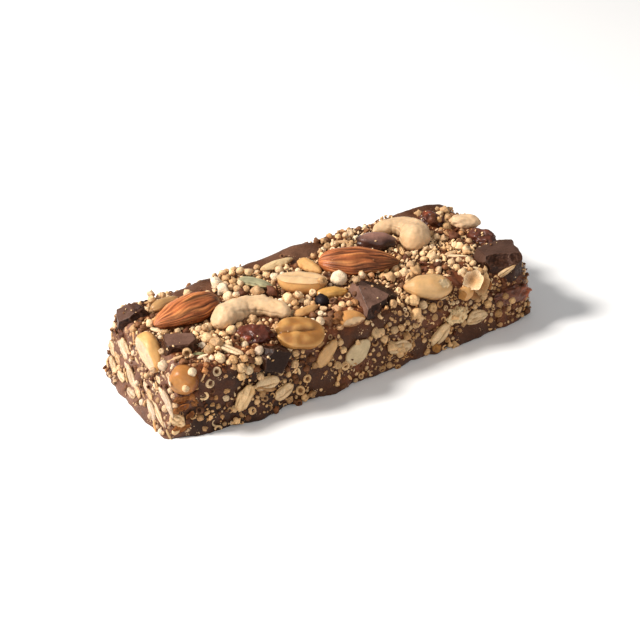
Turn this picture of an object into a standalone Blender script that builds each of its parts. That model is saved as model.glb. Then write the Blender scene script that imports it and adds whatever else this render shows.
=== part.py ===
"""A nut, grain and chocolate protein bar, lying flat on its underside.

The bar is a pressed block of puffed grain and oats held by chocolate, with whole nuts, dried fruit
and chocolate chunks pushed into its top and cut sides. The block is one node with its largest grains
and flakes fused on. Every nut, fruit and chunk is its own node and sits in a pocket of the block.
Metres, +Z up. +X runs along the bar, -Y is its long front side. The origin is under its middle.
"""

import math
import random
from functools import partial

import bmesh
import bpy
from mathutils import Euler, Matrix, Vector, noise
from mathutils.bvhtree import BVHTree

MM = 0.001

# The pressed block
BAR_LENGTH = 112 * MM
BAR_WIDTH = 42.8 * MM
BAR_HEIGHT = 18.2 * MM
EDGE_RADIUS = 4.2 * MM
FOOT_BELOW = 2.6 * MM  # how much of the rounded block the board cuts off under the bar
LEFT_LEAN = 4.4 * MM  # each side leans in by this much from the foot to the top
RIGHT_LEAN = 1.8 * MM
FRONT_LEAN = 2.6 * MM
BACK_LEAN = 0.8 * MM
FRONT_DIP = 1.6 * MM
RIGHT_DIP = 1.2 * MM
BACK_RISE = 1.2 * MM
BACK_CRESTS = ((4 * MM, 10 * MM, 2.6 * MM), (42 * MM, 12 * MM, 3.0 * MM))  # along, reach, height
FOOT_FLARE = 1.2 * MM  # the left end spreads where it meets the board
CORNER_PULL = (6.0 * MM, 2.2 * MM)  # at foot and top: the near left corner is worn the roundest
SQUARE_CORNER = 0.2
LUMP_SIZES = ((17 * MM, 0.8 * MM), (6.5 * MM, 0.45 * MM))  # span and height of the uneven surface
BLOCK_CELLS = (24, 9, 5)

HALF = Vector((BAR_LENGTH / 2, BAR_WIDTH / 2, (BAR_HEIGHT + FOOT_BELOW) / 2))

# How toppings sit
POCKET_GAP = 0.36 * MM
GRAIN_CLEARANCE = 0.4 * MM
LARGE = 9.9 * MM  # toppings this long get more faces
LARGE_FACES = (10, 8)
SMALL_FACES = (8, 6)
CASHEW_FACES = (9, 14)

# Puffed grains that are fused to the block: side, how many, seed
PUFF_ROUNDS = (("top", 40, 11), ("front", 22, 12), ("back", 16, 13), ("left", 8, 14), ("right", 8, 15))
PUFF_SIZE = (2.3 * MM, 3.0 * MM)
PUFF_SPACING = 3.4 * MM
PUFF_LIFT = 0.12
FLAKE_ROUNDS = (("top", 5, 21), ("back", 6, 22), ("right", 3, 23))
FLAKE_LENGTH = (5.0 * MM, 7.5 * MM)
FLAKE_SPACING = 7.0 * MM
FLAKE_WIDTH_SHARE = 0.6
FLAKE_THICKNESS = 1.5 * MM
GRAIN_FACES = (5, 4)
SPREAD = 0.93  # grains keep this share of a side, clear of its edges

# Large oat flakes and nut flakes of the two shown sides: side, across, up, length, width, heading
SHOWN_FLAKES = (
    ("front", -36.6, 7.2, 7.6, 4.8, 58),
    ("front", -29.9, 8.9, 6.9, 4.2, -8),
    ("front", -25.6, 5.2, 5.8, 4.0, 24),
    ("front", 8.8, 6.0, 7.4, 4.4, -12),
    ("front", 22.8, 4.7, 7.6, 4.8, 42),
    ("front", 34.4, 6.2, 7.0, 4.4, -6),
    ("top", 34.6, -17.2, 8.4, 6.2, 20),
    ("left", 11.0, 10.4, 6.4, 3.8, -66),
    ("left", 4.8, 5.8, 8.0, 3.4, -64),
    ("left", -8.4, 3.8, 7.0, 2.6, -58),
    ("left", -13.4, 8.2, 8.2, 2.2, -52),
    ("left", 14.6, 4.4, 5.6, 2.4, -70),
)

CHOCOLATE = (0.055, 0.026, 0.018)
BINDER = (0.11, 0.055, 0.035)
ALMOND_SKIN = (0.30, 0.10, 0.035)
CASHEW_CREAM = (0.72, 0.50, 0.26)
PEANUT_TAN = (0.68, 0.38, 0.14)
FRUIT_RED = (0.12, 0.03, 0.022)
SEED_GREEN = (0.20, 0.20, 0.12)
NUT_PALE = (0.62, 0.47, 0.28)


# ---------------------------------------------------------------- the bar's skin


def lumps(place):
    """How far the uneven surface stands out at a place."""
    height = 0.0
    for number, (span, reach) in enumerate(LUMP_SIZES):
        shift = Vector((3.1, 7.7 * number, 1.3))
        height += reach * noise.noise(place / span + shift)
    return height


def skin(q):
    """The bar's surface over a point q of a cube from -1 to 1, and the direction out of it.

    A ball rolled inside the box rounds its edges. The sides then lean in, the top dips and rises,
    and slow noise makes it as uneven as pressed food is.
    """
    box = Vector([q[i] * HALF[i] for i in range(3)])
    inner = Vector([max(EDGE_RADIUS - HALF[i], min(HALF[i] - EDGE_RADIUS, box[i])) for i in range(3)])
    outward = (box - inner).normalized()
    place = inner + EDGE_RADIUS * outward
    place.z += HALF.z - FOOT_BELOW
    rise = max(0.0, place.z) / BAR_HEIGHT
    along = place.x / HALF.x
    across = place.y / HALF.y
    pull = CORNER_PULL[0] + min(1.0, rise) * (CORNER_PULL[1] - CORNER_PULL[0])
    pull *= (abs(along) * abs(across)) ** 7
    if along > 0 or across > 0:
        pull *= SQUARE_CORNER
    place.x -= math.copysign(pull, along)
    place.y -= math.copysign(pull, across)
    place.x += rise * (LEFT_LEAN * (1 - along) - RIGHT_LEAN * (1 + along)) / 2
    place.y += rise * (FRONT_LEAN * (1 - across) - BACK_LEAN * (1 + across)) / 2
    place.x -= FOOT_FLARE * max(0.0, 1 - rise) ** 4 * max(0.0, -along) ** 3
    dip = FRONT_DIP * max(0.0, -across) ** 3 + RIGHT_DIP * max(0.0, along) ** 4
    crest = BACK_RISE * max(0.0, math.sin(1.4 * along + 0.55))
    for middle, reach, height in BACK_CRESTS:
        crest += height * math.exp(-(((place.x - middle) / reach) ** 2))
    place.z += rise**2 * (crest * max(0.0, across) ** 4 - dip)
    place += outward * lumps(place)
    return place, outward


# The axis that each side faces, which way, and its right-hand and upward directions seen from outside
SIDES = {
    "top": (2, 1, Vector((1, 0, 0)), Vector((0, 1, 0))),
    "front": (1, -1, Vector((1, 0, 0)), Vector((0, 0, 1))),
    "back": (1, 1, Vector((-1, 0, 0)), Vector((0, 0, 1))),
    "left": (0, -1, Vector((0, -1, 0)), Vector((0, 0, 1))),
    "right": (0, 1, Vector((0, 1, 0)), Vector((0, 0, 1))),
}


def cube_point(side, first, second):
    """The point of the cube that lies on a side, from its two other coordinates."""
    axis, sign = SIDES[side][:2]
    q = [first, second]
    q.insert(axis, sign)
    return q


def on_side(side, first, second):
    """The skin's place and outward direction where its two free coordinates are these."""
    axis = SIDES[side][0]
    free = [i for i in range(3) if i != axis]
    q = cube_point(side, 0.0, 0.0)
    for _ in range(8):
        place, outward = skin(q)
        for i, wanted in zip(free, (first, second)):
            q[i] = max(-1.0, min(1.0, q[i] + (wanted - place[i]) / HALF[i]))
    return skin(q)


def seat(side, place, outward, heading, tilt=(0, 0)):
    """The frame of a thing that lies on the skin: x along its heading, z out of the bar."""
    across, up = SIDES[side][2:]
    turn = math.radians(heading)
    x_axis = across * math.cos(turn) + up * math.sin(turn)
    x_axis = (x_axis - outward * x_axis.dot(outward)).normalized()
    y_axis = outward.cross(x_axis)
    frame = Matrix((x_axis, y_axis, outward)).transposed().to_4x4()
    frame.translation = place
    pitch, roll = (math.radians(angle) for angle in tilt)
    return frame @ Euler((roll, pitch, 0)).to_matrix().to_4x4()


# ---------------------------------------------------------------- shapes of the toppings
# Each form moves a point of the unit ball, whose poles lie on X, to its place on the topping.


def almond(d):
    """A drop, pointed at +X."""
    fullness = (1 + d.x) ** 0.5 * (1 - d.x) ** 0.8 / 1.036
    ring = math.sqrt(max(1e-9, 1 - d.x**2))
    return Vector((d.x, d.y / ring * fullness, d.z / ring * fullness * (1 - 0.1 * abs(d.y))))


def whole_nut(d):
    """A blanched nut, slightly pointed at +X."""
    fullness = (1 + d.x) ** 0.45 * (1 - d.x) ** 0.62 / 1.02
    ring = math.sqrt(max(1e-9, 1 - d.x**2))
    return Vector((d.x, d.y / ring * fullness, d.z / ring * fullness))


def split_nut(d):
    """Half a peanut with its flat, grooved face up."""
    waist = 1 - 0.07 * math.cos(2.6 * d.x) ** 2
    groove = 0.16 * math.exp(-((d.y / 0.22) ** 2)) * (1 - d.x**2)
    height = d.z if d.z < 0 else 0.3 * d.z - groove
    return Vector((d.x, d.y * waist, height))


def cashew(sweep, girth, thick_end):
    """A bent nut: the ball drawn out along an arc in the XY plane, thicker towards one end.

    The girth is the nut's half thickness as a share of the arc's radius.
    """
    half_sweep = math.radians(sweep) / 2

    def form(d):
        turn = half_sweep * math.copysign(abs(d.x) ** 1.15, d.x)
        ring = math.sqrt(max(1e-9, 1 - d.x**2))
        fullness = math.sqrt(max(0.0, 1 - abs(d.x) ** 4.4)) * (1 + thick_end * d.x) / ring
        radius = 1 + girth * d.y * fullness
        return Vector((radius * math.sin(turn), radius * math.cos(turn), girth * d.z * fullness))

    return form


CASHEW_OPEN = cashew(132, 0.33, -0.18)
CASHEW_CLOSED = cashew(178, 0.52, 0.44)


def wrinkled(amount, seed):
    """A dried fruit: a ball with shallow folds."""

    def form(d):
        fold = noise.noise(Vector((d.x * 1.3, d.y * 2.3, d.z * 2.3)) + Vector((seed, 0, 0)))
        return d * (1 + amount * fold)

    return form


def seed_form(d):
    """A flat seed with a thin rim, pointed at +X."""
    fullness = (1 + d.x) ** 0.5 * (1 - d.x) ** 0.66 / 1.02
    ring = math.sqrt(max(1e-9, 1 - d.x**2))
    return Vector((d.x, d.y / ring * fullness, d.z * (1 - 0.5 * (d.y / ring * fullness) ** 2)))


def ball_topping(form, size, faces):
    """A ball with its poles on X, moved by a form and fitted to length, width and thickness."""
    bm = bmesh.new()
    bmesh.ops.create_uvsphere(bm, u_segments=faces[0], v_segments=faces[1], radius=1)
    bmesh.ops.rotate(bm, verts=bm.verts, matrix=Matrix.Rotation(math.pi / 2, 3, "Y"))
    for vert in bm.verts:
        vert.co = form(vert.co.normalized())
    for axis in range(3):
        reaches = [vert.co[axis] for vert in bm.verts]
        middle = (max(reaches) + min(reaches)) / 2
        stretch = size[axis] / (max(reaches) - min(reaches))
        for vert in bm.verts:
            vert.co[axis] = (vert.co[axis] - middle) * stretch
    return bm


def chunk_topping(size, cuts):
    """A chocolate chunk: a block broken along planes. A cut is a direction and how far out it is."""
    bm = bmesh.new()
    bmesh.ops.create_cube(bm, size=1)
    bmesh.ops.scale(bm, verts=bm.verts, vec=size)
    for direction, distance in cuts:
        outward = Vector(direction).normalized()
        geometry = bm.verts[:] + bm.edges[:] + bm.faces[:]
        cut = bmesh.ops.bisect_plane(
            bm, geom=geometry, plane_co=outward * distance * MM, plane_no=outward, clear_outer=True
        )
        edges = [item for item in cut["geom_cut"] if isinstance(item, bmesh.types.BMEdge)]
        bmesh.ops.contextual_create(bm, geom=edges)
    bmesh.ops.recalc_face_normals(bm, faces=bm.faces)
    bmesh.ops.bevel(
        bm, geom=bm.edges[:], offset=0.35 * MM, segments=1, affect="EDGES", clamp_overlap=True
    )
    return bm


# Broken faces of the chocolate chunks: direction out of the chunk, and distance in millimetres
SHATTERED = (((0.7, 0.7, 0.3), 2.4), ((-0.3, -0.2, 1), 1.8), ((0.4, -0.9, 0.3), 2.1), ((-0.9, -0.3, 0.4), 4.0))
PLATE = (((0.8, -0.6, 0.1), 3.1), ((-0.92, -0.38, 0.2), 4.2), ((0.95, 0.2, 0.3), 4.0), ((0.1, -0.9, 0.4), 2.8))
SQUARE = (
    ((0.9, -0.43, 0.12), 2.6), ((-0.2, -0.98, 0.1), 2.5), ((-0.81, 0.58, 0.3), 4.0), ((0.25, 0.97, 0.2), 3.7),
)
WEDGE = (
    ((0.04, -0.3, 0.95), 1.7), ((-0.91, 0.21, 0.37), 4.2), ((0.48, 0.03, 0.88), 2.0),
    ((0.12, -0.96, 0.25), 3.9), ((0.3, 0.9, 0.3), 4.3),
)
CORNER_BLOCK = (
    ((-0.52, 0.86, 0.05), 4.0), ((-0.85, -0.28, 0.45), 5.9), ((1, 0.13, 0.1), 5.9), ((0.05, -0.75, 0.66), 5.0),
    ((-0.75, -0.6, -0.2), 5.4), ((0.7, -0.7, -0.1), 6.4),
)
SLANTED = (((1, -0.7, 0.5), 4.7), ((-0.8, -1, 0.1), 4.7), ((-0.4, 0.6, 1), 3.2))

# Toppings, in millimetres and degrees: node, colour, side, across, along or up, lift of its middle over
# the skin, heading, tilt (pitch, roll), length, width and thickness, shape
NUTS = (
    ("almond_left", ALMOND_SKIN, "top", -38.6, 4.3, 1.5, 188, (0, 8), (19.4, 10.0, 7.4), almond),
    ("almond_centre", ALMOND_SKIN, "top", 11.8, 1.9, 1.5, -29, (2, 4), (21.4, 10.6, 7.2), almond),
    ("cashew_left", CASHEW_CREAM, "top", -24.9, -3.2, 1.2, -18, (0, 0), (20.2, 9.8, 5.8), CASHEW_OPEN),
    ("cashew_right", CASHEW_CREAM, "top", 31.5, 8.1, 1.4, -74, (0, 0), (16.2, 11.6, 7.0), CASHEW_CLOSED),
    ("peanut_far", PEANUT_TAN, "top", -7.0, 0.4, 1.2, -40, (0, -10), (12.8, 8.0, 5.6), split_nut),
    ("peanut_near", PEANUT_TAN, "top", -19.3, -16.8, 1.1, -24, (0, 0), (12.6, 8.6, 5.4), split_nut),
    ("peanut_right", PEANUT_TAN, "top", 20.5, -16.2, 1.2, 158, (0, 0), (12.9, 7.2, 6.0), whole_nut),
    ("peanut_small", PEANUT_TAN, "top", -2.6, -6.9, 0.8, -22, (0, 0), (8.2, 3.6, 3.2), whole_nut),
    ("peanut_left", PEANUT_TAN, "top", -40.4, 12.0, 0.6, 10, (0, 0), (8.8, 4.0, 3.4), whole_nut),
    ("peanut_edge_left", CASHEW_CREAM, "left", -1.6, 15.6, 0.1, -20, (0, 0), (12.0, 7.2, 6.0), whole_nut),
    ("hazelnut_corner", PEANUT_TAN, "left", -15.6, 15.0, -0.8, 0, (0, 0), (7.4, 7.4, 6.8), whole_nut),
    ("sunflower_seed", NUT_PALE, "top", 0.1, 7.6, 0.5, -84, (0, 0), (9.2, 4.2, 3.2), seed_form),
    ("almond_flake_far", NUT_PALE, "top", -6.4, 13.4, 0.3, 3, (0, 0), (10.4, 3.4, 2.2), seed_form),
    ("almond_flake_near", PEANUT_TAN, "top", -12.3, -9.8, 0.4, 4, (0, 0), (7.8, 3.2, 2.2), seed_form),
    ("pumpkin_seed", SEED_GREEN, "top", -16.4, 7.8, 0.5, -58, (0, -12), (9.6, 5.2, 2.4), seed_form),
    ("raisin_dark", FRUIT_RED, "top", 21.7, 8.2, 1.4, -37, (0, 0), (10.8, 6.0, 5.0), wrinkled(0.1, 1)),
    ("date_centre", FRUIT_RED, "top", -28.4, -11.6, 0.4, -29, (0, 0), (10.2, 6.6, 5.2), wrinkled(0.2, 2)),
    ("date_right", FRUIT_RED, "front", 46.6, 9.0, -0.3, -4, (0, 0), (13.2, 5.4, 4.8), wrinkled(0.2, 3)),
    ("raisin_right", FRUIT_RED, "top", 49.4, -2.6, 0.2, -70, (0, 0), (8.6, 6.0, 4.6), wrinkled(0.2, 4)),
    ("raisin_far", FRUIT_RED, "top", 42.8, 11.6, 0.4, -56, (0, 0), (7.6, 5.6, 4.4), wrinkled(0.2, 5)),
    ("cashew_far", CASHEW_CREAM, "top", 50.4, 6.4, 0.8, -30, (0, 0), (8.6, 5.6, 4.6), whole_nut),
    ("hazelnut_right", PEANUT_TAN, "front", 31.2, 14.2, 0.0, 10, (0, 0), (4.4, 3.8, 3.6), whole_nut),
    ("nut_centre", NUT_PALE, "top", -3.4, -16.9, 0.3, -20, (0, 0), (7.4, 4.8, 4.0), whole_nut),
    ("nut_slice_front", NUT_PALE, "front", -3.3, 8.6, -0.1, 36, (0, 0), (8.2, 6.0, 2.6), whole_nut),
    ("almond_sliver_front", PEANUT_TAN, "front", -12.7, 11.4, 0.0, 50, (0, 0), (8.4, 4.2, 2.8), seed_form),
    ("walnut_front", NUT_PALE, "front", 28.0, 9.0, 0.1, 14, (0, 0), (7.4, 4.8, 3.4), wrinkled(0.35, 6)),
    ("peanut_back", PEANUT_TAN, "back", 30.0, 9.8, 0.1, 34, (0, 0), (12.0, 7.6, 5.2), split_nut),
    ("almond_back", ALMOND_SKIN, "back", -4.0, 9.0, 0.1, 12, (0, 0), (15.0, 7.4, 4.6), almond),
    ("cashew_end_right", CASHEW_CREAM, "right", 3.0, 9.6, 0.2, -24, (0, 0), (11.6, 6.8, 4.8), whole_nut),
)

CHUNKS = (
    ("chocolate_far_left", "top", -48.7, 12.7, -0.1, -32, (2, 0), (9.2, 4.6, 3.8), SHATTERED),
    ("chocolate_near_left", "top", -46.1, -6.8, 0.2, -30, (0, 4), (8.4, 5.8, 4.0), PLATE),
    ("chocolate_edge", "front", -27.6, 14.0, -0.4, -14, (0, 0), (7.0, 7.0, 5.0), SQUARE),
    ("chocolate_wedge", "top", 6.0, -12.6, 0.6, 7, (0, 8), (12.6, 10.4, 6.4), WEDGE),
    ("chocolate_right", "top", 45.6, -13.6, -0.9, -28, (0, 0), (14.2, 10.4, 7.6), CORNER_BLOCK),
    ("chocolate_back", "back", -31.0, 10.4, 0.2, 8, (0, 0), (10.4, 7.0, 4.8), SLANTED),
)


# ---------------------------------------------------------------- objects


def clear_scene():
    for thing in list(bpy.data.objects):
        bpy.data.objects.remove(thing, do_unlink=True)


def new_collection(name):
    made = bpy.data.collections.new(name)
    bpy.context.scene.collection.children.link(made)
    return made


def finish(name, colour, roughness):
    """A plain food finish."""
    made = bpy.data.materials.get(name) or bpy.data.materials.new(name)
    made.use_nodes = True
    shader = made.node_tree.nodes["Principled BSDF"]
    shader.inputs["Base Color"].default_value = (*colour, 1)
    shader.inputs["Roughness"].default_value = roughness
    shader.inputs["Metallic"].default_value = 0.0
    return made


def add_object(name, bm, frame, collection, material=None):
    """A mesh object from a bmesh, standing in its frame."""
    mesh = bpy.data.meshes.new(name)
    bm.normal_update()
    bm.to_mesh(mesh)
    bm.free()
    mesh.shade_smooth()
    thing = bpy.data.objects.new(name, mesh)
    thing.matrix_world = frame
    collection.objects.link(thing)
    if material:
        mesh.materials.append(material)
    return thing


def grown(bm):
    """The same shape, larger by the gap that a topping keeps to its pocket."""
    bm.normal_update()
    moves = [(vert, vert.normal.copy()) for vert in bm.verts]
    for vert, normal in moves:
        vert.co += normal * POCKET_GAP
    return bm


def apply_boolean(thing, operation, collection):
    """Joins a collection to an object, or cuts it out, and keeps the main body alone."""
    modifier = thing.modifiers.new(operation.lower(), "BOOLEAN")
    modifier.operation = operation
    modifier.operand_type = "COLLECTION"
    modifier.collection = collection
    modifier.solver = "EXACT"
    evaluated = thing.evaluated_get(bpy.context.evaluated_depsgraph_get())
    thing.data = bpy.data.meshes.new_from_object(evaluated)
    thing.modifiers.clear()
    for other in list(collection.objects):
        bpy.data.objects.remove(other, do_unlink=True)
    keep_main_body(thing.data)


def keep_main_body(mesh):
    """Drops loose scraps, and with them the inner skins of any sealed hollow."""
    bm = bmesh.new()
    bm.from_mesh(mesh)
    seen = set()
    bodies = []
    for start in bm.verts:
        if start in seen:
            continue
        seen.add(start)
        body = [start]
        for vert in body:
            for edge in vert.link_edges:
                other = edge.other_vert(vert)
                if other not in seen:
                    seen.add(other)
                    body.append(other)
        bodies.append(body)
    bodies.sort(key=len)
    scraps = [vert for body in bodies[:-1] for vert in body]
    bmesh.ops.delete(bm, geom=scraps, context="VERTS")
    bm.to_mesh(mesh)
    bm.free()


def block():
    """The pressed block, cut flat where it lies."""
    bm = bmesh.new()
    bmesh.ops.create_cube(bm, size=2)
    for axis, cells in enumerate(BLOCK_CELLS):
        edges = [edge for edge in bm.edges if abs((edge.verts[0].co - edge.verts[1].co)[axis]) > 1e-6]
        bmesh.ops.subdivide_edges(bm, edges=edges, cuts=cells - 1, use_grid_fill=True)
    for vert in bm.verts:
        vert.co = skin(vert.co)[0]
    geometry = bm.verts[:] + bm.edges[:] + bm.faces[:]
    cut = bmesh.ops.bisect_plane(bm, geom=geometry, plane_co=(0, 0, 0), plane_no=(0, 0, -1), clear_outer=True)
    rim = [item for item in cut["geom_cut"] if isinstance(item, bmesh.types.BMEdge)]
    bmesh.ops.contextual_create(bm, geom=rim)
    bmesh.ops.triangulate(bm, faces=bm.faces)
    bmesh.ops.recalc_face_normals(bm, faces=bm.faces)
    return bm


# ---------------------------------------------------------------- toppings and grains


def topping_frame(side, across, up, lift, heading, tilt):
    place, outward = on_side(side, across * MM, up * MM)
    return seat(side, place + outward * lift * MM, outward, heading, tilt)


def topping_specs():
    """Each topping's node, material, frame and how to model it."""
    specs = []
    for name, colour, side, across, up, lift, heading, tilt, size, form in NUTS:
        material = finish("finish_" + name, colour, 0.5)
        size = [length * MM for length in size]
        frame = topping_frame(side, across, up, lift, heading, tilt)
        faces = LARGE_FACES if size[0] > LARGE else SMALL_FACES
        if form in (CASHEW_OPEN, CASHEW_CLOSED):
            faces = CASHEW_FACES
        specs.append((name, material, frame, partial(ball_topping, form, size, faces)))
    for name, side, across, up, lift, heading, tilt, size, cuts in CHUNKS:
        material = finish("finish_chocolate", CHOCOLATE, 0.42)
        size = [length * MM for length in size]
        frame = topping_frame(side, across, up, lift, heading, tilt)
        specs.append((name, material, frame, partial(chunk_topping, size, cuts)))
    return specs


def near_topping(place, reach, trees):
    """Whether a grain of this reach would touch a topping."""
    for tree in trees:
        nearest, normal, _, distance = tree.find_nearest(place)
        if distance < reach + GRAIN_CLEARANCE or (place - nearest).dot(normal) < 0:
            return True
    return False


def scattered(side, count, seed, spacing, reach, trees):
    """Random places on a side, apart from each other and clear of the toppings."""
    draw = random.Random(seed)
    found = []
    for _ in range(count * 40):
        place, outward = skin(cube_point(side, draw.uniform(-SPREAD, SPREAD), draw.uniform(-SPREAD, SPREAD)))
        spin = draw.uniform(0, 360)
        share = draw.random()
        crowded = any((place - other[0]).length < spacing for other in found)
        too_low = place.z < reach + 0.4 * MM
        if crowded or too_low or near_topping(place, reach, trees):
            continue
        found.append((place, outward, spin, share))
        if len(found) == count:
            break
    return found


def add_grain(frame, size, collection):
    bm = ball_topping(Vector.copy, size, GRAIN_FACES)
    add_object("grain", bm, frame, collection)


def grains(collection, trees):
    """The puffed grains and oat flakes that are large enough to model on the block."""
    taken = []
    for side, across, up, length, width, heading in SHOWN_FLAKES:
        place, outward = on_side(side, across * MM, up * MM)
        if near_topping(place, length / 2 * MM, trees):
            continue
        frame = seat(side, place + outward * 0.1 * MM, outward, heading)
        add_grain(frame, (length * MM, width * MM, FLAKE_THICKNESS), collection)
        taken.append((place, length / 2 * MM))
    for side, count, seed in FLAKE_ROUNDS:
        for place, outward, spin, share in scattered(side, count, seed, FLAKE_SPACING, 2.8 * MM, trees):
            length = FLAKE_LENGTH[0] + share * (FLAKE_LENGTH[1] - FLAKE_LENGTH[0])
            frame = seat(side, place + outward * 0.1 * MM, outward, spin)
            add_grain(frame, (length, length * FLAKE_WIDTH_SHARE, FLAKE_THICKNESS), collection)
            taken.append((place, length / 2))
    for side, count, seed in PUFF_ROUNDS:
        for place, outward, spin, share in scattered(side, count, seed, PUFF_SPACING, 1.5 * MM, trees):
            width = PUFF_SIZE[0] + share * (PUFF_SIZE[1] - PUFF_SIZE[0])
            if any((place - other).length < reach + width / 2 + 0.3 * MM for other, reach in taken):
                continue
            frame = seat(side, place + outward * PUFF_LIFT * width, outward, spin)
            add_grain(frame, (width, width, width * 0.86), collection)


def build():
    clear_scene()
    bar = new_collection("protein_bar")
    cutters = new_collection("pockets")
    loose = new_collection("loose_grains")
    core = add_object("bar_core", block(), Matrix(), bar, finish("finish_binder", BINDER, 0.5))
    trees = []
    for name, material, frame, shape in topping_specs():
        topping = shape()
        add_object("pocket", grown(shape()), frame, cutters)
        bmesh.ops.transform(topping, matrix=frame, verts=topping.verts)
        trees.append(BVHTree.FromBMesh(topping))
        add_object(name, topping, Matrix(), bar, material)
    bpy.context.view_layer.update()
    apply_boolean(core, "DIFFERENCE", cutters)
    grains(loose, trees)
    bpy.context.view_layer.update()
    apply_boolean(core, "UNION", loose)
    for emptied in (cutters, loose):
        bpy.data.collections.remove(emptied)


if __name__ == "__main__":
    build()
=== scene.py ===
"""A nut, grain and chocolate protein bar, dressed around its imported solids.

The pressed block is rebuilt with a fine uneven skin, every nut, fruit and chocolate chunk is modelled
again in its own pocket with its real relief, and puffed grains, oat flakes, slivers and crumbs are
laid over the skin at their true size. Metres, +Z up, +X along the bar, -Y its long front side.
"""

import math
import random

import bmesh
import bpy
import numpy as np
from bpy.props import FloatProperty, FloatVectorProperty, IntProperty, PointerProperty
from bpy.types import Operator, Panel, PropertyGroup
from mathutils import Euler, Matrix, Vector, noise
from mathutils.bvhtree import BVHTree


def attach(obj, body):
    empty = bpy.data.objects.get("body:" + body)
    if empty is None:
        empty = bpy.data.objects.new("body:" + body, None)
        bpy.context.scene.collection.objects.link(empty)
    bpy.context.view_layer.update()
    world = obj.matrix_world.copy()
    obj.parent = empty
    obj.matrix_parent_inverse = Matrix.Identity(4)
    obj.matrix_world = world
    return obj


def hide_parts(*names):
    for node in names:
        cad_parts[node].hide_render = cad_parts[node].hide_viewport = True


bl_info = {
    "name": "Protein bar",
    "version": (1, 0, 0),
    "blender": (4, 5, 0),
    "location": "View3D > Sidebar > Protein bar",
    "description": "Builds a nut, grain and chocolate bar piece by piece",
    "category": "Object",
}

MM = 0.001

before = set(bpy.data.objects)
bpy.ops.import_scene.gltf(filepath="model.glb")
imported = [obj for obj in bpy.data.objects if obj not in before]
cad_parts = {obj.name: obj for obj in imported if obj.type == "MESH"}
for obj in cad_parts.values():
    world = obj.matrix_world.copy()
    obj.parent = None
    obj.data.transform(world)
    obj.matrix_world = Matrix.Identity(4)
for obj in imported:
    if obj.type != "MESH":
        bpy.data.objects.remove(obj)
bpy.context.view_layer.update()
BODY = "root"
CORE = "bar_core"


# ---------------------------------------------------------------- settings


class BlockSettings(PropertyGroup):
    """The pressed block."""

    length: FloatProperty(
        name="Length", description="Length of the block", default=112 * MM, unit="LENGTH"
    )
    width: FloatProperty(name="Width", description="Width of the block", default=42.8 * MM, unit="LENGTH")
    height: FloatProperty(
        name="Height", description="Height of the block", default=18.2 * MM, unit="LENGTH"
    )
    edge_radius: FloatProperty(
        name="Edge radius", description="Rounding of its edges", default=4.2 * MM, unit="LENGTH"
    )
    cell: FloatProperty(
        name="Cell", description="Spacing of the points of its skin", default=0.56 * MM, unit="LENGTH"
    )
    roughness_height: FloatProperty(
        name="Unevenness",
        description="How far the binder stands out between the grains",
        default=0.36 * MM,
        unit="LENGTH",
    )
    sunk: FloatProperty(
        name="Grain room",
        description="How far the binder lies under the grains' outer reach",
        default=0.5 * MM,
        unit="LENGTH",
    )
    dark_binder: FloatVectorProperty(
        name="Dark binder",
        description="Chocolate that holds the grains",
        default=(0.068, 0.0235, 0.009),
        subtype="COLOR",
    )
    milk_binder: FloatVectorProperty(
        name="Milk binder",
        description="Paler binder of the left end",
        default=(0.160, 0.074, 0.047),
        subtype="COLOR",
    )
    caramel_binder: FloatVectorProperty(
        name="Caramel binder",
        description="Sticky caramel and date paste between the grains",
        default=(0.135, 0.040, 0.014),
        subtype="COLOR",
    )


class GrainSettings(PropertyGroup):
    """Puffed grains, flakes and crumbs."""

    ball_min: FloatProperty(
        name="Smallest puff", description="Diameter of a small puff", default=1.0 * MM, unit="LENGTH"
    )
    ball_max: FloatProperty(
        name="Largest puff", description="Diameter of a large puff", default=2.35 * MM, unit="LENGTH"
    )
    top_count: IntProperty(name="Puffs on top", description="Tries for the top", default=5200)
    side_count: IntProperty(name="Grains on a side", description="Tries for a long side", default=3200)
    cream: FloatVectorProperty(
        name="Cream", description="Pale puffed grain", default=(0.80, 0.54, 0.30), subtype="COLOR"
    )
    tan: FloatVectorProperty(
        name="Tan", description="Toasted grain", default=(0.56, 0.335, 0.162), subtype="COLOR"
    )
    brown: FloatVectorProperty(
        name="Brown", description="Grain under binder", default=(0.20, 0.085, 0.036), subtype="COLOR"
    )
    oat: FloatVectorProperty(
        name="Oat", description="Oat flakes and cut nut", default=(0.65, 0.46, 0.25), subtype="COLOR"
    )


class ToppingSettings(PropertyGroup):
    """Colours of the nuts, fruit and chocolate."""

    almond: FloatVectorProperty(
        name="Almond", description="Roasted almond skin", default=(0.30, 0.094, 0.031), subtype="COLOR"
    )
    cashew: FloatVectorProperty(
        name="Cashew", description="Roasted cashew", default=(0.74, 0.51, 0.315), subtype="COLOR"
    )
    peanut: FloatVectorProperty(
        name="Peanut", description="Blanched roasted peanut", default=(0.58, 0.31, 0.115), subtype="COLOR"
    )
    pale_nut: FloatVectorProperty(
        name="Pale nut", description="Cut almond and walnut", default=(0.66, 0.47, 0.25), subtype="COLOR"
    )
    green_seed: FloatVectorProperty(
        name="Green seed", description="Pumpkin seed", default=(0.35, 0.33, 0.205), subtype="COLOR"
    )
    fruit: FloatVectorProperty(
        name="Fruit", description="Date and raisin", default=(0.098, 0.027, 0.014), subtype="COLOR"
    )
    chocolate: FloatVectorProperty(
        name="Chocolate",
        description="Dark chocolate chunks",
        default=(0.048, 0.0175, 0.0085),
        subtype="COLOR",
    )


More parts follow.
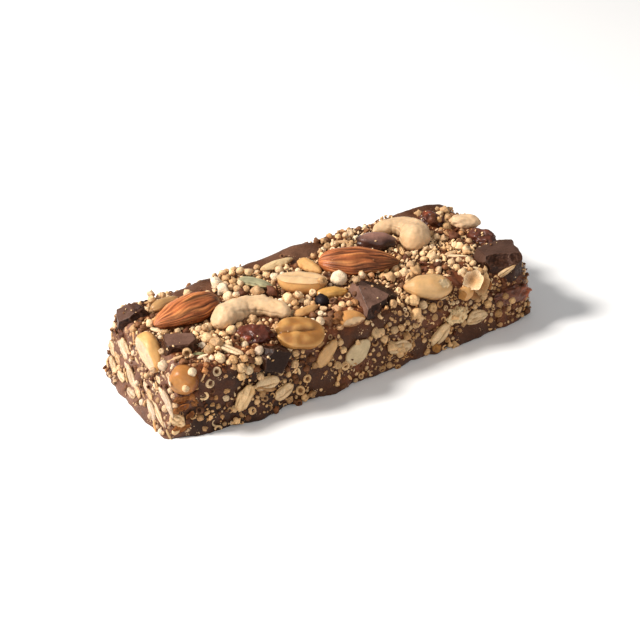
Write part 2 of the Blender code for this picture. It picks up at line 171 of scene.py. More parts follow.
class StageSettings(PropertyGroup):
    """Floor, lights and camera."""

    floor_colour: FloatVectorProperty(
        name="Floor", description="Colour of the floor", default=(0.90, 0.90, 0.90), subtype="COLOR"
    )
    key_power: FloatProperty(name="Key light", description="Power of the main light in watts", default=14.0)
    fill_power: FloatProperty(
        name="Fill light", description="Power of the soft light in watts", default=2.5
    )
    sky: FloatProperty(name="Sky", description="Strength of the light from all round", default=0.31)
    lens: FloatProperty(name="Lens", description="Focal length in millimetres", default=85.0)


# ---------------------------------------------------------------- the bar's skin

# How the block departs from a plain one: its sides lean inwards, its front and right rims dip, its
# back rim rises in crests (middle, reach and height), its foot flares at the left end, and its corners
# are pulled in, more at the foot than at the rim
FOOT_BELOW = 2.6 * MM  # how far its rounded lower edges would reach below the plane that it rests on
LEFT_LEAN = 4.4 * MM
RIGHT_LEAN = 1.8 * MM
FRONT_LEAN = 2.6 * MM
BACK_LEAN = 0.8 * MM
FRONT_DIP = 1.6 * MM
RIGHT_DIP = 1.2 * MM
BACK_RISE = 1.2 * MM
BACK_CRESTS = ((4 * MM, 10 * MM, 2.6 * MM), (42 * MM, 12 * MM, 3.0 * MM))
FOOT_FLARE = 1.2 * MM
CORNER_PULL = (6.0 * MM, 2.2 * MM)
SQUARE_CORNER = 0.2  # the share of that pull at the three squarer corners
LUMP_SIZES = ((17 * MM, 0.8 * MM), (6.5 * MM, 0.45 * MM))

# The axis that each side faces, which way, and its right-hand and upward directions seen from outside
SIDES = {
    "top": (2, 1, Vector((1, 0, 0)), Vector((0, 1, 0))),
    "base": (2, -1, Vector((1, 0, 0)), Vector((0, -1, 0))),
    "front": (1, -1, Vector((1, 0, 0)), Vector((0, 0, 1))),
    "back": (1, 1, Vector((-1, 0, 0)), Vector((0, 0, 1))),
    "left": (0, -1, Vector((0, -1, 0)), Vector((0, 0, 1))),
    "right": (0, 1, Vector((0, 1, 0)), Vector((0, 0, 1))),
}


def clamp(value, low=0.0, high=1.0):
    return max(low, min(high, value))


def noise_at(place, *shift):
    """Smooth noise at a place, from about -1 to 1. A shift gives another pattern of the same kind."""
    place = Vector(place)
    return noise.noise(place + Vector(shift) if shift else place)


def lumps(place):
    """How far the uneven surface stands out at a place."""
    return sum(
        reach * noise_at(place / span, 3.1, 7.7 * number, 1.3)
        for number, (span, reach) in enumerate(LUMP_SIZES)
    )


class BarSkin:
    """The block's surface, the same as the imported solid's, or sunk below it to leave room for grains."""

    def __init__(self, block, sunk=0.0):
        self.sunk = sunk
        self.half = Vector((block.length / 2, block.width / 2, (block.height + FOOT_BELOW) / 2))
        self.radius = block.edge_radius
        self.height = block.height

    def at(self, q):
        """The place over a point q of a cube from -1 to 1, and the direction out of the bar."""
        half = self.half
        radius = self.radius
        box = Vector([q[i] * half[i] for i in range(3)])
        inner = Vector([max(radius - half[i], min(half[i] - radius, box[i])) for i in range(3)])
        outward = (box - inner).normalized()
        place = inner + radius * outward
        place.z += half.z - FOOT_BELOW
        rise = max(0.0, place.z) / self.height
        along = place.x / half.x
        across = place.y / half.y
        pull = CORNER_PULL[0] + min(1.0, rise) * (CORNER_PULL[1] - CORNER_PULL[0])
        pull *= (abs(along) * abs(across)) ** 7
        if along > 0 or across > 0:
            pull *= SQUARE_CORNER
        place.x -= math.copysign(pull, along)
        place.y -= math.copysign(pull, across)
        place.x += rise * (LEFT_LEAN * (1 - along) - RIGHT_LEAN * (1 + along)) / 2
        place.y += rise * (FRONT_LEAN * (1 - across) - BACK_LEAN * (1 + across)) / 2
        place.x -= FOOT_FLARE * max(0.0, 1 - rise) ** 4 * max(0.0, -along) ** 3
        dip = FRONT_DIP * max(0.0, -across) ** 3 + RIGHT_DIP * max(0.0, along) ** 4
        crest = BACK_RISE * max(0.0, math.sin(1.4 * along + 0.55))
        for middle, reach, height in BACK_CRESTS:
            crest += height * math.exp(-(((place.x - middle) / reach) ** 2))
        place.z += rise**2 * (crest * max(0.0, across) ** 4 - dip)
        place += outward * (lumps(place) - self.sunk * (1 - 0.5 * max(0.0, outward.z)))
        return place, outward

    def on_side(self, side, first, second):
        """The place and outward direction where a side's two free coordinates are these."""
        axis = SIDES[side][0]
        free = [i for i in range(3) if i != axis]
        q = cube_point(side, 0.0, 0.0)
        for _ in range(8):
            place, outward = self.at(q)
            for i, wanted in zip(free, (first, second)):
                q[i] = clamp(q[i] + (wanted - place[i]) / self.half[i], -1.0)
        return self.at(q)

    def grid(self, cells):
        """Places, outward directions and square faces of the whole skin."""
        index = {}
        places = []
        outwards = []
        faces = []
        for axis in range(3):
            first, second = [i for i in range(3) if i != axis]
            for end in (0, cells[axis]):
                turned = (end == 0) != (axis == 1)
                for i in range(cells[first]):
                    for j in range(cells[second]):
                        ring = []
                        for step_i, step_j in ((0, 0), (1, 0), (1, 1), (0, 1)):
                            key = [0, 0, 0]
                            key[axis] = end
                            key[first] = i + step_i
                            key[second] = j + step_j
                            key = tuple(key)
                            if key not in index:
                                index[key] = len(places)
                                q = [2 * key[n] / cells[n] - 1 for n in range(3)]
                                place, outward = self.at(q)
                                places.append(place)
                                outwards.append(outward)
                            ring.append(index[key])
                        faces.append(ring[::-1] if turned else ring)
        return places, outwards, faces


def cube_point(side, first, second):
    """The point of the cube that lies on a side, from its two other coordinates."""
    axis, sign = SIDES[side][:2]
    q = [first, second]
    q.insert(axis, sign)
    return q


def seat(side, place, outward, heading, tilt=(0, 0)):
    """The frame of a thing that lies on the skin: x along its heading, z out of the bar."""
    across, up = SIDES[side][2:]
    turn = math.radians(heading)
    x_axis = across * math.cos(turn) + up * math.sin(turn)
    x_axis = (x_axis - outward * x_axis.dot(outward)).normalized()
    y_axis = outward.cross(x_axis)
    made = Matrix((x_axis, y_axis, outward)).transposed().to_4x4()
    made.translation = place
    pitch, roll = (math.radians(angle) for angle in tilt)
    return made @ Euler((roll, pitch, 0)).to_matrix().to_4x4()


# ---------------------------------------------------------------- camera and the photographed places

SCALE = 0.95  # from the size at which the camera was fitted to the real one
CAMERA_TURN = math.radians(-33.3)
CAMERA_RISE = math.radians(31.7)
CAMERA_DISTANCE = 0.418 * SCALE
TARGET = Vector((-0.8, 1.5, 6.4)) * SCALE * MM
SENSOR = 36.0
PICTURE = 640
CAMERA_BACK = Vector(
    (
        math.sin(CAMERA_TURN) * math.cos(CAMERA_RISE),
        -math.cos(CAMERA_TURN) * math.cos(CAMERA_RISE),
        math.sin(CAMERA_RISE),
    )
)
CAMERA_PLACE = TARGET + CAMERA_BACK * CAMERA_DISTANCE
CAMERA_RIGHT = Vector((math.cos(CAMERA_TURN), math.sin(CAMERA_TURN), 0))
CAMERA_UP = CAMERA_BACK.cross(CAMERA_RIGHT)


def topping_solids(start=0):
    """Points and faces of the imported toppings, with their points counted from a start."""
    points = []
    faces = []
    for name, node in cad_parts.items():
        if name != CORE:
            first = start + len(points)
            points += [vert.co.copy() for vert in node.data.vertices]
            faces += [[first + i for i in face.vertices] for face in node.data.polygons]
    return points, faces


class Sight:
    """Finds where on the bar the camera sees a point of a 640 pixel picture."""

    CELLS = (110, 42, 20)
    FLATTEST = 0.35  # the least slope at which a thing's height is still followed along the view

    def __init__(self, skin, lens):
        places, _, faces = skin.grid(self.CELLS)
        points, rings = topping_solids(len(places))
        self.tree = BVHTree.FromPolygons(places + points, faces + rings)
        self.focus = lens / SENSOR * PICTURE

    def at(self, column, row, height=0.0):
        """The place that the camera sees there, raised by height, and the direction out of the bar."""
        ray = CAMERA_RIGHT * ((column - PICTURE / 2) / self.focus)
        ray -= CAMERA_UP * ((row - PICTURE / 2) / self.focus)
        ray = (ray - CAMERA_BACK).normalized()
        place, outward, _, _ = self.tree.ray_cast(CAMERA_PLACE, ray)
        if place is None:
            return None, None
        slope = max(self.FLATTEST, -ray.dot(outward))
        return place - ray * (height / slope), outward


# ---------------------------------------------------------------- shapes of the toppings
# Each form moves a point of the unit ball, whose poles lie on X, to its place on the topping.


def ring_of(d):
    """How far a point of the unit ball lies from the X axis."""
    return math.sqrt(max(1e-9, 1 - d.x**2))


def almond(d):
    """A drop, pointed at +X."""
    fullness = (1 + d.x) ** 0.5 * (1 - d.x) ** 0.7 / 1.022
    ring = ring_of(d)
    return Vector((d.x, d.y / ring * fullness, d.z / ring * fullness * (1 - 0.1 * abs(d.y))))


def whole_nut(d):
    """A blanched nut, slightly pointed at +X."""
    fullness = (1 + d.x) ** 0.45 * (1 - d.x) ** 0.62 / 1.02
    ring = ring_of(d)
    return Vector((d.x, d.y / ring * fullness, d.z / ring * fullness))


def split_nut(d):
    """Half a peanut with its flat, grooved face up."""
    waist = 1 - 0.07 * math.cos(2.6 * d.x) ** 2
    groove = 0.16 * math.exp(-((d.y / 0.22) ** 2)) * (1 - d.x**2)
    height = d.z if d.z < 0 else 0.3 * d.z - groove
    return Vector((d.x, d.y * waist, height))


def cashew(sweep, girth, thick_end):
    """A bent nut: the ball drawn out along an arc in the XY plane, thicker towards one end."""
    half_sweep = math.radians(sweep) / 2

    def form(d):
        turn = half_sweep * math.copysign(abs(d.x) ** 1.15, d.x)
        fullness = math.sqrt(max(0.0, 1 - abs(d.x) ** 4.4)) * (1 + thick_end * d.x) / ring_of(d)
        fullness *= 0.92 + 0.16 * d.x**2
        radius = 1 + girth * d.y * fullness
        return Vector((radius * math.sin(turn), radius * math.cos(turn), girth * d.z * fullness))

    return form


CASHEW_OPEN = cashew(132, 0.33, -0.18)
CASHEW_CLOSED = cashew(178, 0.52, 0.44)


def wrinkled(amount, seed):
    """A dried fruit: a ball with shallow folds."""

    def form(d):
        fold = noise_at((d.x * 1.3, d.y * 2.3, d.z * 2.3), seed, 0, 0)
        return d * (1 + amount * fold)

    return form


def seed_form(d):
    """A flat seed with a thin rim, pointed at +X."""
    fullness = (1 + d.x) ** 0.5 * (1 - d.x) ** 0.66 / 1.02
    ring = ring_of(d)
    return Vector((d.x, d.y / ring * fullness, d.z * (1 - 0.5 * (d.y / ring * fullness) ** 2)))


# ---------------------------------------------------------------- relief and tint of the toppings
# Each takes the ball point and the place on the topping in millimetres. It gives how far the skin
# stands out there in millimetres, and the factors of the topping's colour.


def bump_at(value, width):
    """A smooth bump, 1 at 0 and nothing beyond about two widths."""
    return math.exp(-((value / width) ** 2))


def blend(first, second, share):
    """A colour between two others: the first at 0, the second at 1."""
    share = clamp(share)
    return tuple(a + (b - a) * share for a, b in zip(first, second))


def scaled(colour, gain):
    """A colour with all its parts times one gain."""
    return tuple(part * gain for part in colour)


def tinted(colour, factors):
    """A colour with each part times its own factor."""
    return tuple(part * factor for part, factor in zip(colour, factors))


def almond_look(seed, light=1.0, shaded=(0, 0)):
    """Lengthwise ridges and grooves that wander and meet at the tips, darker towards the shaded side."""

    def look(d, p):
        wander = 0.22 * noise_at((d.x * 2.0, d.y, d.z), seed, 0, 0)
        angle = math.atan2(d.z, d.y) + wander
        around = Vector((math.cos(angle), math.sin(angle), 0))
        band = noise_at(around * 7.5, seed * 3, 0, d.x * 1.5)
        fine = noise_at(around * 13, 0, seed * 3, d.x * 2.6)
        streak = noise_at(around * 2.6, seed * 5, 2, d.x * 1.6)
        fade = 1 - d.x**8
        push = (0.22 * band + 0.13 * fine + 0.08 * streak) * fade
        patch = noise_at(p * 0.3, seed, 0, 0)
        # Painted shade: darker in the grooves, underneath and towards the shaded side
        shade = 1.0 + 0.8 * band + 0.6 * fine + 0.4 * patch - 0.5 * max(0.0, -d.z - 0.1)
        shade -= 1.2 * max(0.0, d.x * shaded[0] + d.y * shaded[1])
        shade = max(0.26, shade) * light
        gold = max(0.0, streak - 0.1) * 1.4 + max(0.0, band - 0.1) * 1.6
        golden = (shade * 1.25, shade * 1.55, shade * 1.5)
        return push, blend((shade, shade * 0.93, shade * 0.93), golden, gold)

    return look


def cashew_look(seed, creases=(-0.3, -0.08, 0.2), tone=(1, 1, 1)):
    """Soft dents and a few fine creases that cross the inner bend."""

    def look(d, p):
        soft = noise_at(p * 0.32, seed, 2, 0)
        fine = noise_at(p * 1.1, seed, 5, 0)
        crease = 0.0
        for number, middle in enumerate(creases):
            wander = 0.05 * noise_at((d.y * 2.5, d.z * 2.5, seed + number))
            depth = max(0.0, 0.3 - d.y) * (0.5 + noise_at((number, seed, d.z * 2)))
            crease += bump_at(d.x - middle - wander, 0.04) * depth
        seam = bump_at(d.z - 0.35 + 0.3 * d.x, 0.07) * max(0.0, -d.y - 0.1)
        push = 0.5 * soft + 0.11 * fine - 0.24 * crease - 0.18 * seam
        # Painted shade underneath, in the creases and along the seam
        under = 0.10 * max(0.0, -d.y) + 0.25 * max(0.0, -d.z)
        shade = 1 + 0.12 * soft + 0.12 * fine - 0.32 * crease - 0.2 * seam - under
        toasted = max(0.0, noise_at(p * 0.2, 3, seed, 1)) * 0.8 + 0.35 * d.x**6
        light = scaled(tone, shade)
        return push, blend(light, tinted(light, (0.93, 0.82, 0.66)), toasted)

    return look


def nut_look(seed, chip=None, cuts=(), tone=(1, 1, 1), inner=(1.22, 1.5, 2.2)):
    """A blanched nut with faint lengthwise lines, a pale chip and flat cuts that show its inside.

    A cut is a direction, how far out it starts on the unit ball, and its depth in millimetres.
    """

    def look(d, p):
        around = Vector((0, d.y, d.z)).normalized()
        lines = noise_at(around * 3.6, d.x * 1.2, seed, 0)
        soft = noise_at(p * 0.4, seed, 0, 3)
        push = 0.08 * lines + 0.26 * soft
        # Painted shade underneath
        shade = 1 + 0.16 * soft + 0.12 * lines - 0.35 * max(0.0, -d.z)
        dark = 0.7 * d.x**8 + 0.6 * soft
        light = scaled(tone, shade)
        tint = blend(light, tinted(light, (0.78, 0.6, 0.42)), dark)
        if chip:
            reach = (d - Vector(chip).normalized()).length + 0.12 * noise_at(p * 1.6)
            if reach < 0.3:
                push -= 0.32 * (1 - (reach / 0.3) ** 4)
                tint = (1.2, 1.6, 2.4)
        for direction, level, depth in cuts:
            facing = d.dot(Vector(direction).normalized()) - level + 0.05 * noise_at(p * 0.9)
            if facing > 0:
                push -= facing * depth - 0.10 * noise_at(p * 0.8) - 0.05 * noise_at(p * 2.1)
                pale = blend(inner, scaled(inner, 0.8), 0.5 + noise_at(p * 0.8))
                tint = blend(tint, pale, facing * 30)
        return push, tint

    return look


def seam_look(seed, notch, tone=(1, 1, 1), lit=0.4):
    """Half a peanut: a fine seam along its face and a notch where the germ sat."""

    def look(d, p):
        soft = noise_at(p * 0.4, seed, 0, 3)
        wander = 0.10 * noise_at((d.x * 2.2, seed, 0)) + 0.06 * math.sin(3 * d.x)
        upper = clamp(d.z * 3 + 0.3)
        reach = 1 if d.x < 0.45 else max(0.0, 1 - (d.x - 0.45) * 3)
        seam = bump_at(d.y - wander, 0.045) * upper * reach
        bite = bump_at(d.y - wander, 0.15) * max(0.0, -d.x) ** 6 * notch
        swollen = bump_at(abs(d.y - wander) - 0.3, 0.2) * upper * (1 - d.x**2)
        push = 0.22 * soft - 0.42 * seam * (1 - d.x**2) - 2.8 * bite + 0.22 * swollen
        # Painted shade in the seam, the notch and underneath; painted light on the top and along the rim
        shade = 1 + 0.2 * soft - 0.45 * seam - 0.5 * bite + 0.12 * swollen - 0.35 * max(0.0, -d.z)
        pale = lit * (max(0.0, d.z) * (0.35 + 2 * soft) + 0.9 * bump_at(d.z - 0.2, 0.2))
        pale += 0.3 * max(0.0, soft) - 0.5 * seam
        light = scaled(tone, shade)
        return push, blend(light, tinted(light, (1.42, 1.75, 2.2)), pale)

    return look


def face_look(seed):
    """Half a peanut with its paler inner face, a broad hollow along it and a raised rim."""

    def look(d, p):
        soft = noise_at(p * 0.45, seed, 0, 3)
        hollow = bump_at(d.y + 0.05, 0.2) * max(0.0, 1 - (d.x / 0.62) ** 2) * max(0.0, d.z) * 1.2
        rim = bump_at(d.z - 0.15, 0.1)
        push = 0.14 * soft - 0.62 * hollow + 0.2 * rim
        # Painted shade in the hollow and underneath
        shade = 1 + 0.1 * soft - 0.2 * hollow - 0.2 * max(0.0, -d.z)
        pale = clamp(d.z * 5) * 0.85
        outside = (shade * 1.34, shade * 1.38, shade * 1.4)
        return push, blend(outside, (shade * 1.06, shade * 1.34, shade * 2.0), pale)

    return look


def slice_look(seed, tone=(1, 1, 1)):
    """A cut nut slice: flat, with a fine grain and a darker, browner rim."""

    def look(d, p):
        grainy = noise_at((p.x * 0.8, p.y * 3.2, seed))
        soft = noise_at(p * 0.6, seed, 0, 3)
        rim = bump_at(d.z, 0.16)
        push = 0.06 * grainy + 0.10 * soft
        shade = 1 + 0.10 * grainy + 0.12 * soft - 0.12 * rim
        light = scaled(tone, shade)
        return push, blend(light, tinted(light, (0.85, 0.62, 0.4)), rim * 0.6)

    return look


def seed_look(seed):
    """A green seed: smooth, with a raised rim and a paler edge."""

    def look(d, p):
        soft = noise_at(p * 0.5, seed, 0, 3)
        streak = noise_at((p.x * 0.4, p.y * 2.6, seed))
        rim = bump_at(d.z - 0.12, 0.12)
        ridge = bump_at(d.y - 0.1, 0.12) * max(0.0, d.z)
        push = 0.10 * rim + 0.06 * soft + 0.14 * ridge
        shade = 0.85 + 0.45 * streak + 0.4 * soft + 0.3 * ridge
        return push, blend((shade, shade * 0.97, shade * 0.9), (1.7, 1.5, 1.2), rim * 0.7)

    return look


def fruit_look(seed, depth, amber, tone=(1, 1, 1)):
    """Dried fruit: soft folds, and amber where light comes through."""

    def look(d, p):
        warp = Vector([noise_at(p * 0.35, seed, n * 7, 0) for n in range(3)])
        folds = 1 - abs(noise_at(Vector((p.x * 0.26, p.y * 0.5, p.z * 0.5)) + warp * 1.1)) * 3.2
        small = 1 - abs(noise_at(p * 1.0 + warp)) * 3
        push = depth * (0.26 * folds + 0.05 * small)
        # Painted light and shade: lighter on the crests of the folds, and a painted amber glow where light
        # comes through
        shade = 0.9 + 0.30 * folds + 0.10 * small
        lit = 0.0
        for direction, reach in amber:
            lit = max(lit, 1 - (d - Vector(direction)).length / reach)
        lit = clamp(lit * 1.3 + 0.3 * folds * (lit > 0))
        light = scaled(tone, shade)
        return push, blend(light, tinted(light, (2.4, 1.6, 0.9)), lit)

    return look


def raisin_look(seed):
    """A plump, nearly smooth raisin with a few shallow folds along it and a dull painted sheen above."""

    def look(d, p):
        fold = 1 - abs(noise_at((p.x * 0.12, p.y * 0.36, p.z * 0.36), seed, 3, 0)) * 4
        soft = noise_at(p * 0.35, 0, seed, 0)
        push = 0.10 * max(0.0, fold) + 0.12 * soft
        # Painted light on the raised folds, and a painted sheen, paler and bluer, on the upper side
        shade = 0.42 + 0.15 * max(0.0, fold) + 0.2 * soft
        pale = clamp((d.z - 0.25) * 1.5 + 0.6 * soft + 0.3 * d.y)
        return push, blend((shade, shade * 1.3, shade * 1.6), (2.5, 4.5, 6.4), pale)

    return look


def walnut_look(seed):
    """A broken walnut piece: folds with small holes."""

    def look(d, p):
        fold = noise_at(p * 0.8, seed, 0, 0)
        pores = noise_at(p * 3.1, 0, seed, 0)
        hole = 1.0 if pores > 0.42 else 0.0
        push = 0.34 * fold - 0.25 * hole
        # Painted shade in the holes, and lighter on the raised folds
        shade = 1 + 0.25 * fold - 0.75 * hole
        return push, blend((shade, shade, shade), (shade * 0.8, shade * 0.55, shade * 0.35), -fold * 1.5)

    return look


# Toppings, in millimetres and degrees: node, colour, material slot, side, across, along or up, lift of
# its middle over the skin, heading, tilt (pitch, roll), length, width and thickness, form, look
TOPPINGS = (
    ("almond_left", "almond", "almond_skin", "top", -38.6, 4.3, 1.5, 188, (0, 8), (19.4, 10.0, 7.4),
     almond, almond_look(1, 1.3, (-0.36, 0.28))),
    ("almond_centre", "almond", "almond_skin", "top", 11.8, 1.9, 1.5, -29, (2, 4), (21.4, 10.6, 7.2),
     almond, almond_look(2, 1.12, (0.40, -0.32))),
    ("cashew_left", "cashew", "cashew_cream", "top", -24.9, -3.2, 1.2, -18, (0, 0), (20.2, 9.8, 5.8),
     CASHEW_OPEN, cashew_look(1, tone=(0.92, 0.92, 0.88))),
    ("cashew_right", "cashew", "cashew_cream", "top", 31.5, 8.1, 1.4, -74, (0, 0), (16.2, 11.6, 7.0),
     CASHEW_CLOSED, cashew_look(2, (-0.5, -0.3, -0.1, 0.1), (0.86, 0.83, 0.77))),
    ("peanut_far", "peanut", "roasted_nut", "top", -7.0, 0.4, 1.2, -40, (0, -10), (12.8, 8.0, 5.6),
     split_nut, face_look(1)),
    ("peanut_near", "peanut", "roasted_nut", "top", -19.3, -16.8, 1.1, -24, (0, 0), (12.6, 8.6, 5.4),
     split_nut, seam_look(2, 1.0, (0.58, 0.455, 0.30), 1.0)),
    ("peanut_right", "peanut", "roasted_nut", "top", 20.5, -16.2, 1.2, 158, (0, 0), (12.9, 7.2, 6.0),
     whole_nut, nut_look(3, chip=(-0.62, 0.25, 0.74), tone=(0.97, 1.08, 1.25))),
    ("peanut_small", "peanut", "roasted_nut", "top", -2.6, -6.9, 0.8, -22, (0, 0), (8.2, 3.6, 3.2),
     whole_nut, nut_look(4, tone=(0.98, 0.96, 0.68))),
    ("peanut_left", "peanut", "roasted_nut", "top", -40.4, 12.0, 0.6, 10, (0, 0), (8.8, 4.0, 3.4),
     whole_nut, nut_look(5, tone=(0.74, 0.78, 0.84))),
    ("peanut_edge_left", "peanut", "roasted_nut", "left", -1.6, 15.6, 0.1, -20, (0, 0), (12.0, 7.2, 6.0),
     whole_nut, nut_look(6, cuts=(((0.1, -0.45, 0.9), 0.42, 3.0),), tone=(1.1, 1.12, 1.05),
                         inner=(1.1, 1.38, 2.2))),
    ("hazelnut_corner", "peanut", "roasted_nut", "left", -15.6, 15.0, -0.8, 0, (0, 0), (7.4, 7.4, 6.8),
     whole_nut, nut_look(7, cuts=(((0.1, -0.3, 0.95), 0.82, 2.0),), tone=(0.66, 0.50, 0.33),
                         inner=(0.8, 0.66, 0.5))),
    ("sunflower_seed", "pale_nut", "pale_nut", "top", 0.1, 7.6, 0.5, -84, (0, 0), (9.2, 4.2, 3.2),
     seed_form, nut_look(21, tone=(0.86, 0.66, 0.46))),
    ("almond_flake_far", "pale_nut", "pale_nut", "top", -6.4, 13.4, 0.3, 3, (0, 0), (10.4, 3.4, 2.2),
     seed_form, slice_look(2)),
    ("almond_flake_near", "peanut", "roasted_nut", "top", -12.3, -9.8, 0.4, 4, (0, 0), (7.8, 3.2, 2.2),
     seed_form, slice_look(3)),
    ("pumpkin_seed", "green_seed", "green_seed", "top", -16.4, 7.8, 0.5, -58, (0, -12), (9.6, 5.2, 2.4),
     seed_form, seed_look(1)),
    ("raisin_dark", "fruit", "dried_fruit", "top", 21.7, 8.2, 1.4, -37, (0, 0), (10.8, 6.0, 5.0),
     wrinkled(0.1, 1), raisin_look(1)),
    ("date_centre", "fruit", "dried_fruit", "top", -28.4, -11.6, 0.4, -29, (0, 0), (10.2, 6.6, 5.2),
     wrinkled(0.2, 2), fruit_look(2, 1.0, (((-0.5, -0.75, 0.4), 0.45),), (1.05, 0.86, 0.78))),
    ("date_right", "fruit", "dried_fruit", "front", 46.6, 9.0, -0.3, -4, (0, 0), (13.2, 5.4, 4.8),
     wrinkled(0.2, 3), fruit_look(3, 1.0, (((0.8, 0.1, 0.3), 0.9),), (1.4, 1.7, 1.7))),
    ("raisin_right", "fruit", "dried_fruit", "top", 49.4, -2.6, 0.2, -70, (0, 0), (8.6, 6.0, 4.6),
     wrinkled(0.2, 4), fruit_look(4, 1.1, ())),
    ("raisin_far", "fruit", "dried_fruit", "top", 42.8, 11.6, 0.4, -56, (0, 0), (7.6, 5.6, 4.4),
     wrinkled(0.2, 5), fruit_look(5, 1.1, (((-0.6, 0, 0.8), 0.5),))),
    ("cashew_far", "cashew", "cashew_cream", "top", 50.4, 6.4, 0.8, -30, (0, 0), (8.6, 5.6, 4.6),
     wrinkled(0.12, 8), cashew_look(3, (), (0.92, 0.9, 0.86))),
    ("hazelnut_right", "peanut", "roasted_nut", "front", 31.2, 14.2, 0.0, 10, (0, 0), (4.4, 3.8, 3.6),
     whole_nut, nut_look(8)),
    ("nut_centre", "peanut", "pale_nut", "top", -3.4, -16.9, 0.3, -20, (0, 0), (7.4, 4.8, 4.0),
     whole_nut, nut_look(9, cuts=(((0.25, -0.95, 0.2), 0.45, 1.6),), tone=(0.95, 0.85, 0.72))),
    ("nut_slice_front", "pale_nut", "pale_nut", "front", -3.3, 8.6, -0.1, 36, (0, 0), (8.2, 6.0, 2.6),
     whole_nut, slice_look(4, (0.84, 0.88, 0.95))),
    ("almond_sliver_front", "peanut", "roasted_nut", "front", -12.7, 11.4, 0.0, 50, (0, 0), (8.4, 4.2, 2.8),
     seed_form, slice_look(5, (0.97, 1.04, 1.15))),
    ("walnut_front", "pale_nut", "pale_nut", "front", 28.0, 9.0, 0.1, 14, (0, 0), (7.4, 4.8, 3.4),
     wrinkled(0.35, 6), walnut_look(1)),
    ("peanut_back", "peanut", "roasted_nut", "back", 30.0, 9.8, 0.1, 34, (0, 0), (12.0, 7.6, 5.2),
     split_nut, seam_look(7, 0.6)),
    ("almond_back", "almond", "almond_skin", "back", -4.0, 9.0, 0.1, 12, (0, 0), (15.0, 7.4, 4.6),
     almond, almond_look(8)),
    ("cashew_end_right", "cashew", "cashew_cream", "right", 3.0, 9.6, 0.2, -24, (0, 0), (11.6, 6.8, 4.8),
     whole_nut, seam_look(9, 0.8, (0.95, 0.92, 0.86))),
)

# Large flakes: side, across, up, length, width, heading
SHOWN_FLAKES = (
    ("front", -36.6, 7.2, 7.6, 4.8, 58),
    ("front", -29.9, 8.9, 6.9, 4.2, -8),
    ("front", -25.6, 5.2, 5.8, 4.0, 24),
    ("front", 8.8, 6.0, 7.4, 4.4, -12),
    ("front", 22.8, 4.7, 7.6, 4.8, 42),
    ("front", 34.4, 6.2, 7.0, 4.4, -6),
    ("left", 11.0, 10.6, 5.8, 4.4, -66),
    ("left", 4.8, 5.8, 7.6, 4.0, -64),
    ("left", -8.4, 3.8, 6.6, 3.4, -58),
    ("left", -13.4, 8.2, 7.4, 3.0, -52),
    ("left", 14.6, 4.4, 5.0, 3.4, -70),
    ("back", 46.0, 7.0, 7.2, 4.4, 24),
    ("back", 14.0, 11.5, 6.8, 4.0, -36),
    ("back", 10.0, 4.6, 7.4, 4.6, 18),
    ("back", -14.0, 5.0, 7.0, 4.2, 62),
    ("back", -21.0, 11.0, 6.2, 3.8, -12),
    ("back", -44.0, 6.4, 7.4, 4.4, 40),
    ("right", -11.5, 8.0, 6.6, 4.0, -50),
    ("right", 12.5, 5.4, 7.0, 4.2, 34),
    ("right", 13.0, 12.0, 5.4, 3.4, -20),
    ("right", -4.0, 3.6, 6.0, 3.4, 12),
)
FLAKE_THICKNESS = 1.5 * MM

# Broken faces of the chocolate chunks: direction out of the chunk, and distance in millimetres
SHATTERED = (
    ((0.7, 0.7, 0.3), 2.4), ((-0.3, -0.2, 1), 1.8), ((0.4, -0.9, 0.3), 2.1), ((-0.9, -0.3, 0.4), 4.0),
)
PLATE = (
    ((0.8, -0.6, 0.1), 3.1), ((-0.92, -0.38, 0.2), 4.2), ((0.95, 0.2, 0.3), 4.0), ((0.1, -0.9, 0.4), 2.8),
)
SQUARE = (
    ((0.9, -0.43, 0.12), 2.6), ((-0.2, -0.98, 0.1), 2.5), ((-0.81, 0.58, 0.3), 4.0),
    ((0.25, 0.97, 0.2), 3.7),
)
WEDGE = (
    ((0.04, -0.3, 0.95), 1.7), ((-0.91, 0.21, 0.37), 4.2), ((0.48, 0.03, 0.88), 2.0),
    ((0.12, -0.96, 0.25), 3.9), ((0.3, 0.9, 0.3), 4.3),
)
CORNER_BLOCK = (
    ((-0.52, 0.86, 0.05), 4.0), ((-0.85, -0.28, 0.45), 5.9), ((1, 0.13, 0.1), 5.9),
    ((0.05, -0.75, 0.66), 5.0), ((-0.75, -0.6, -0.2), 5.4), ((0.7, -0.7, -0.1), 6.4),
)
SLANTED = (((1, -0.7, 0.5), 4.7), ((-0.8, -1, 0.1), 4.7), ((-0.4, 0.6, 1), 3.2))
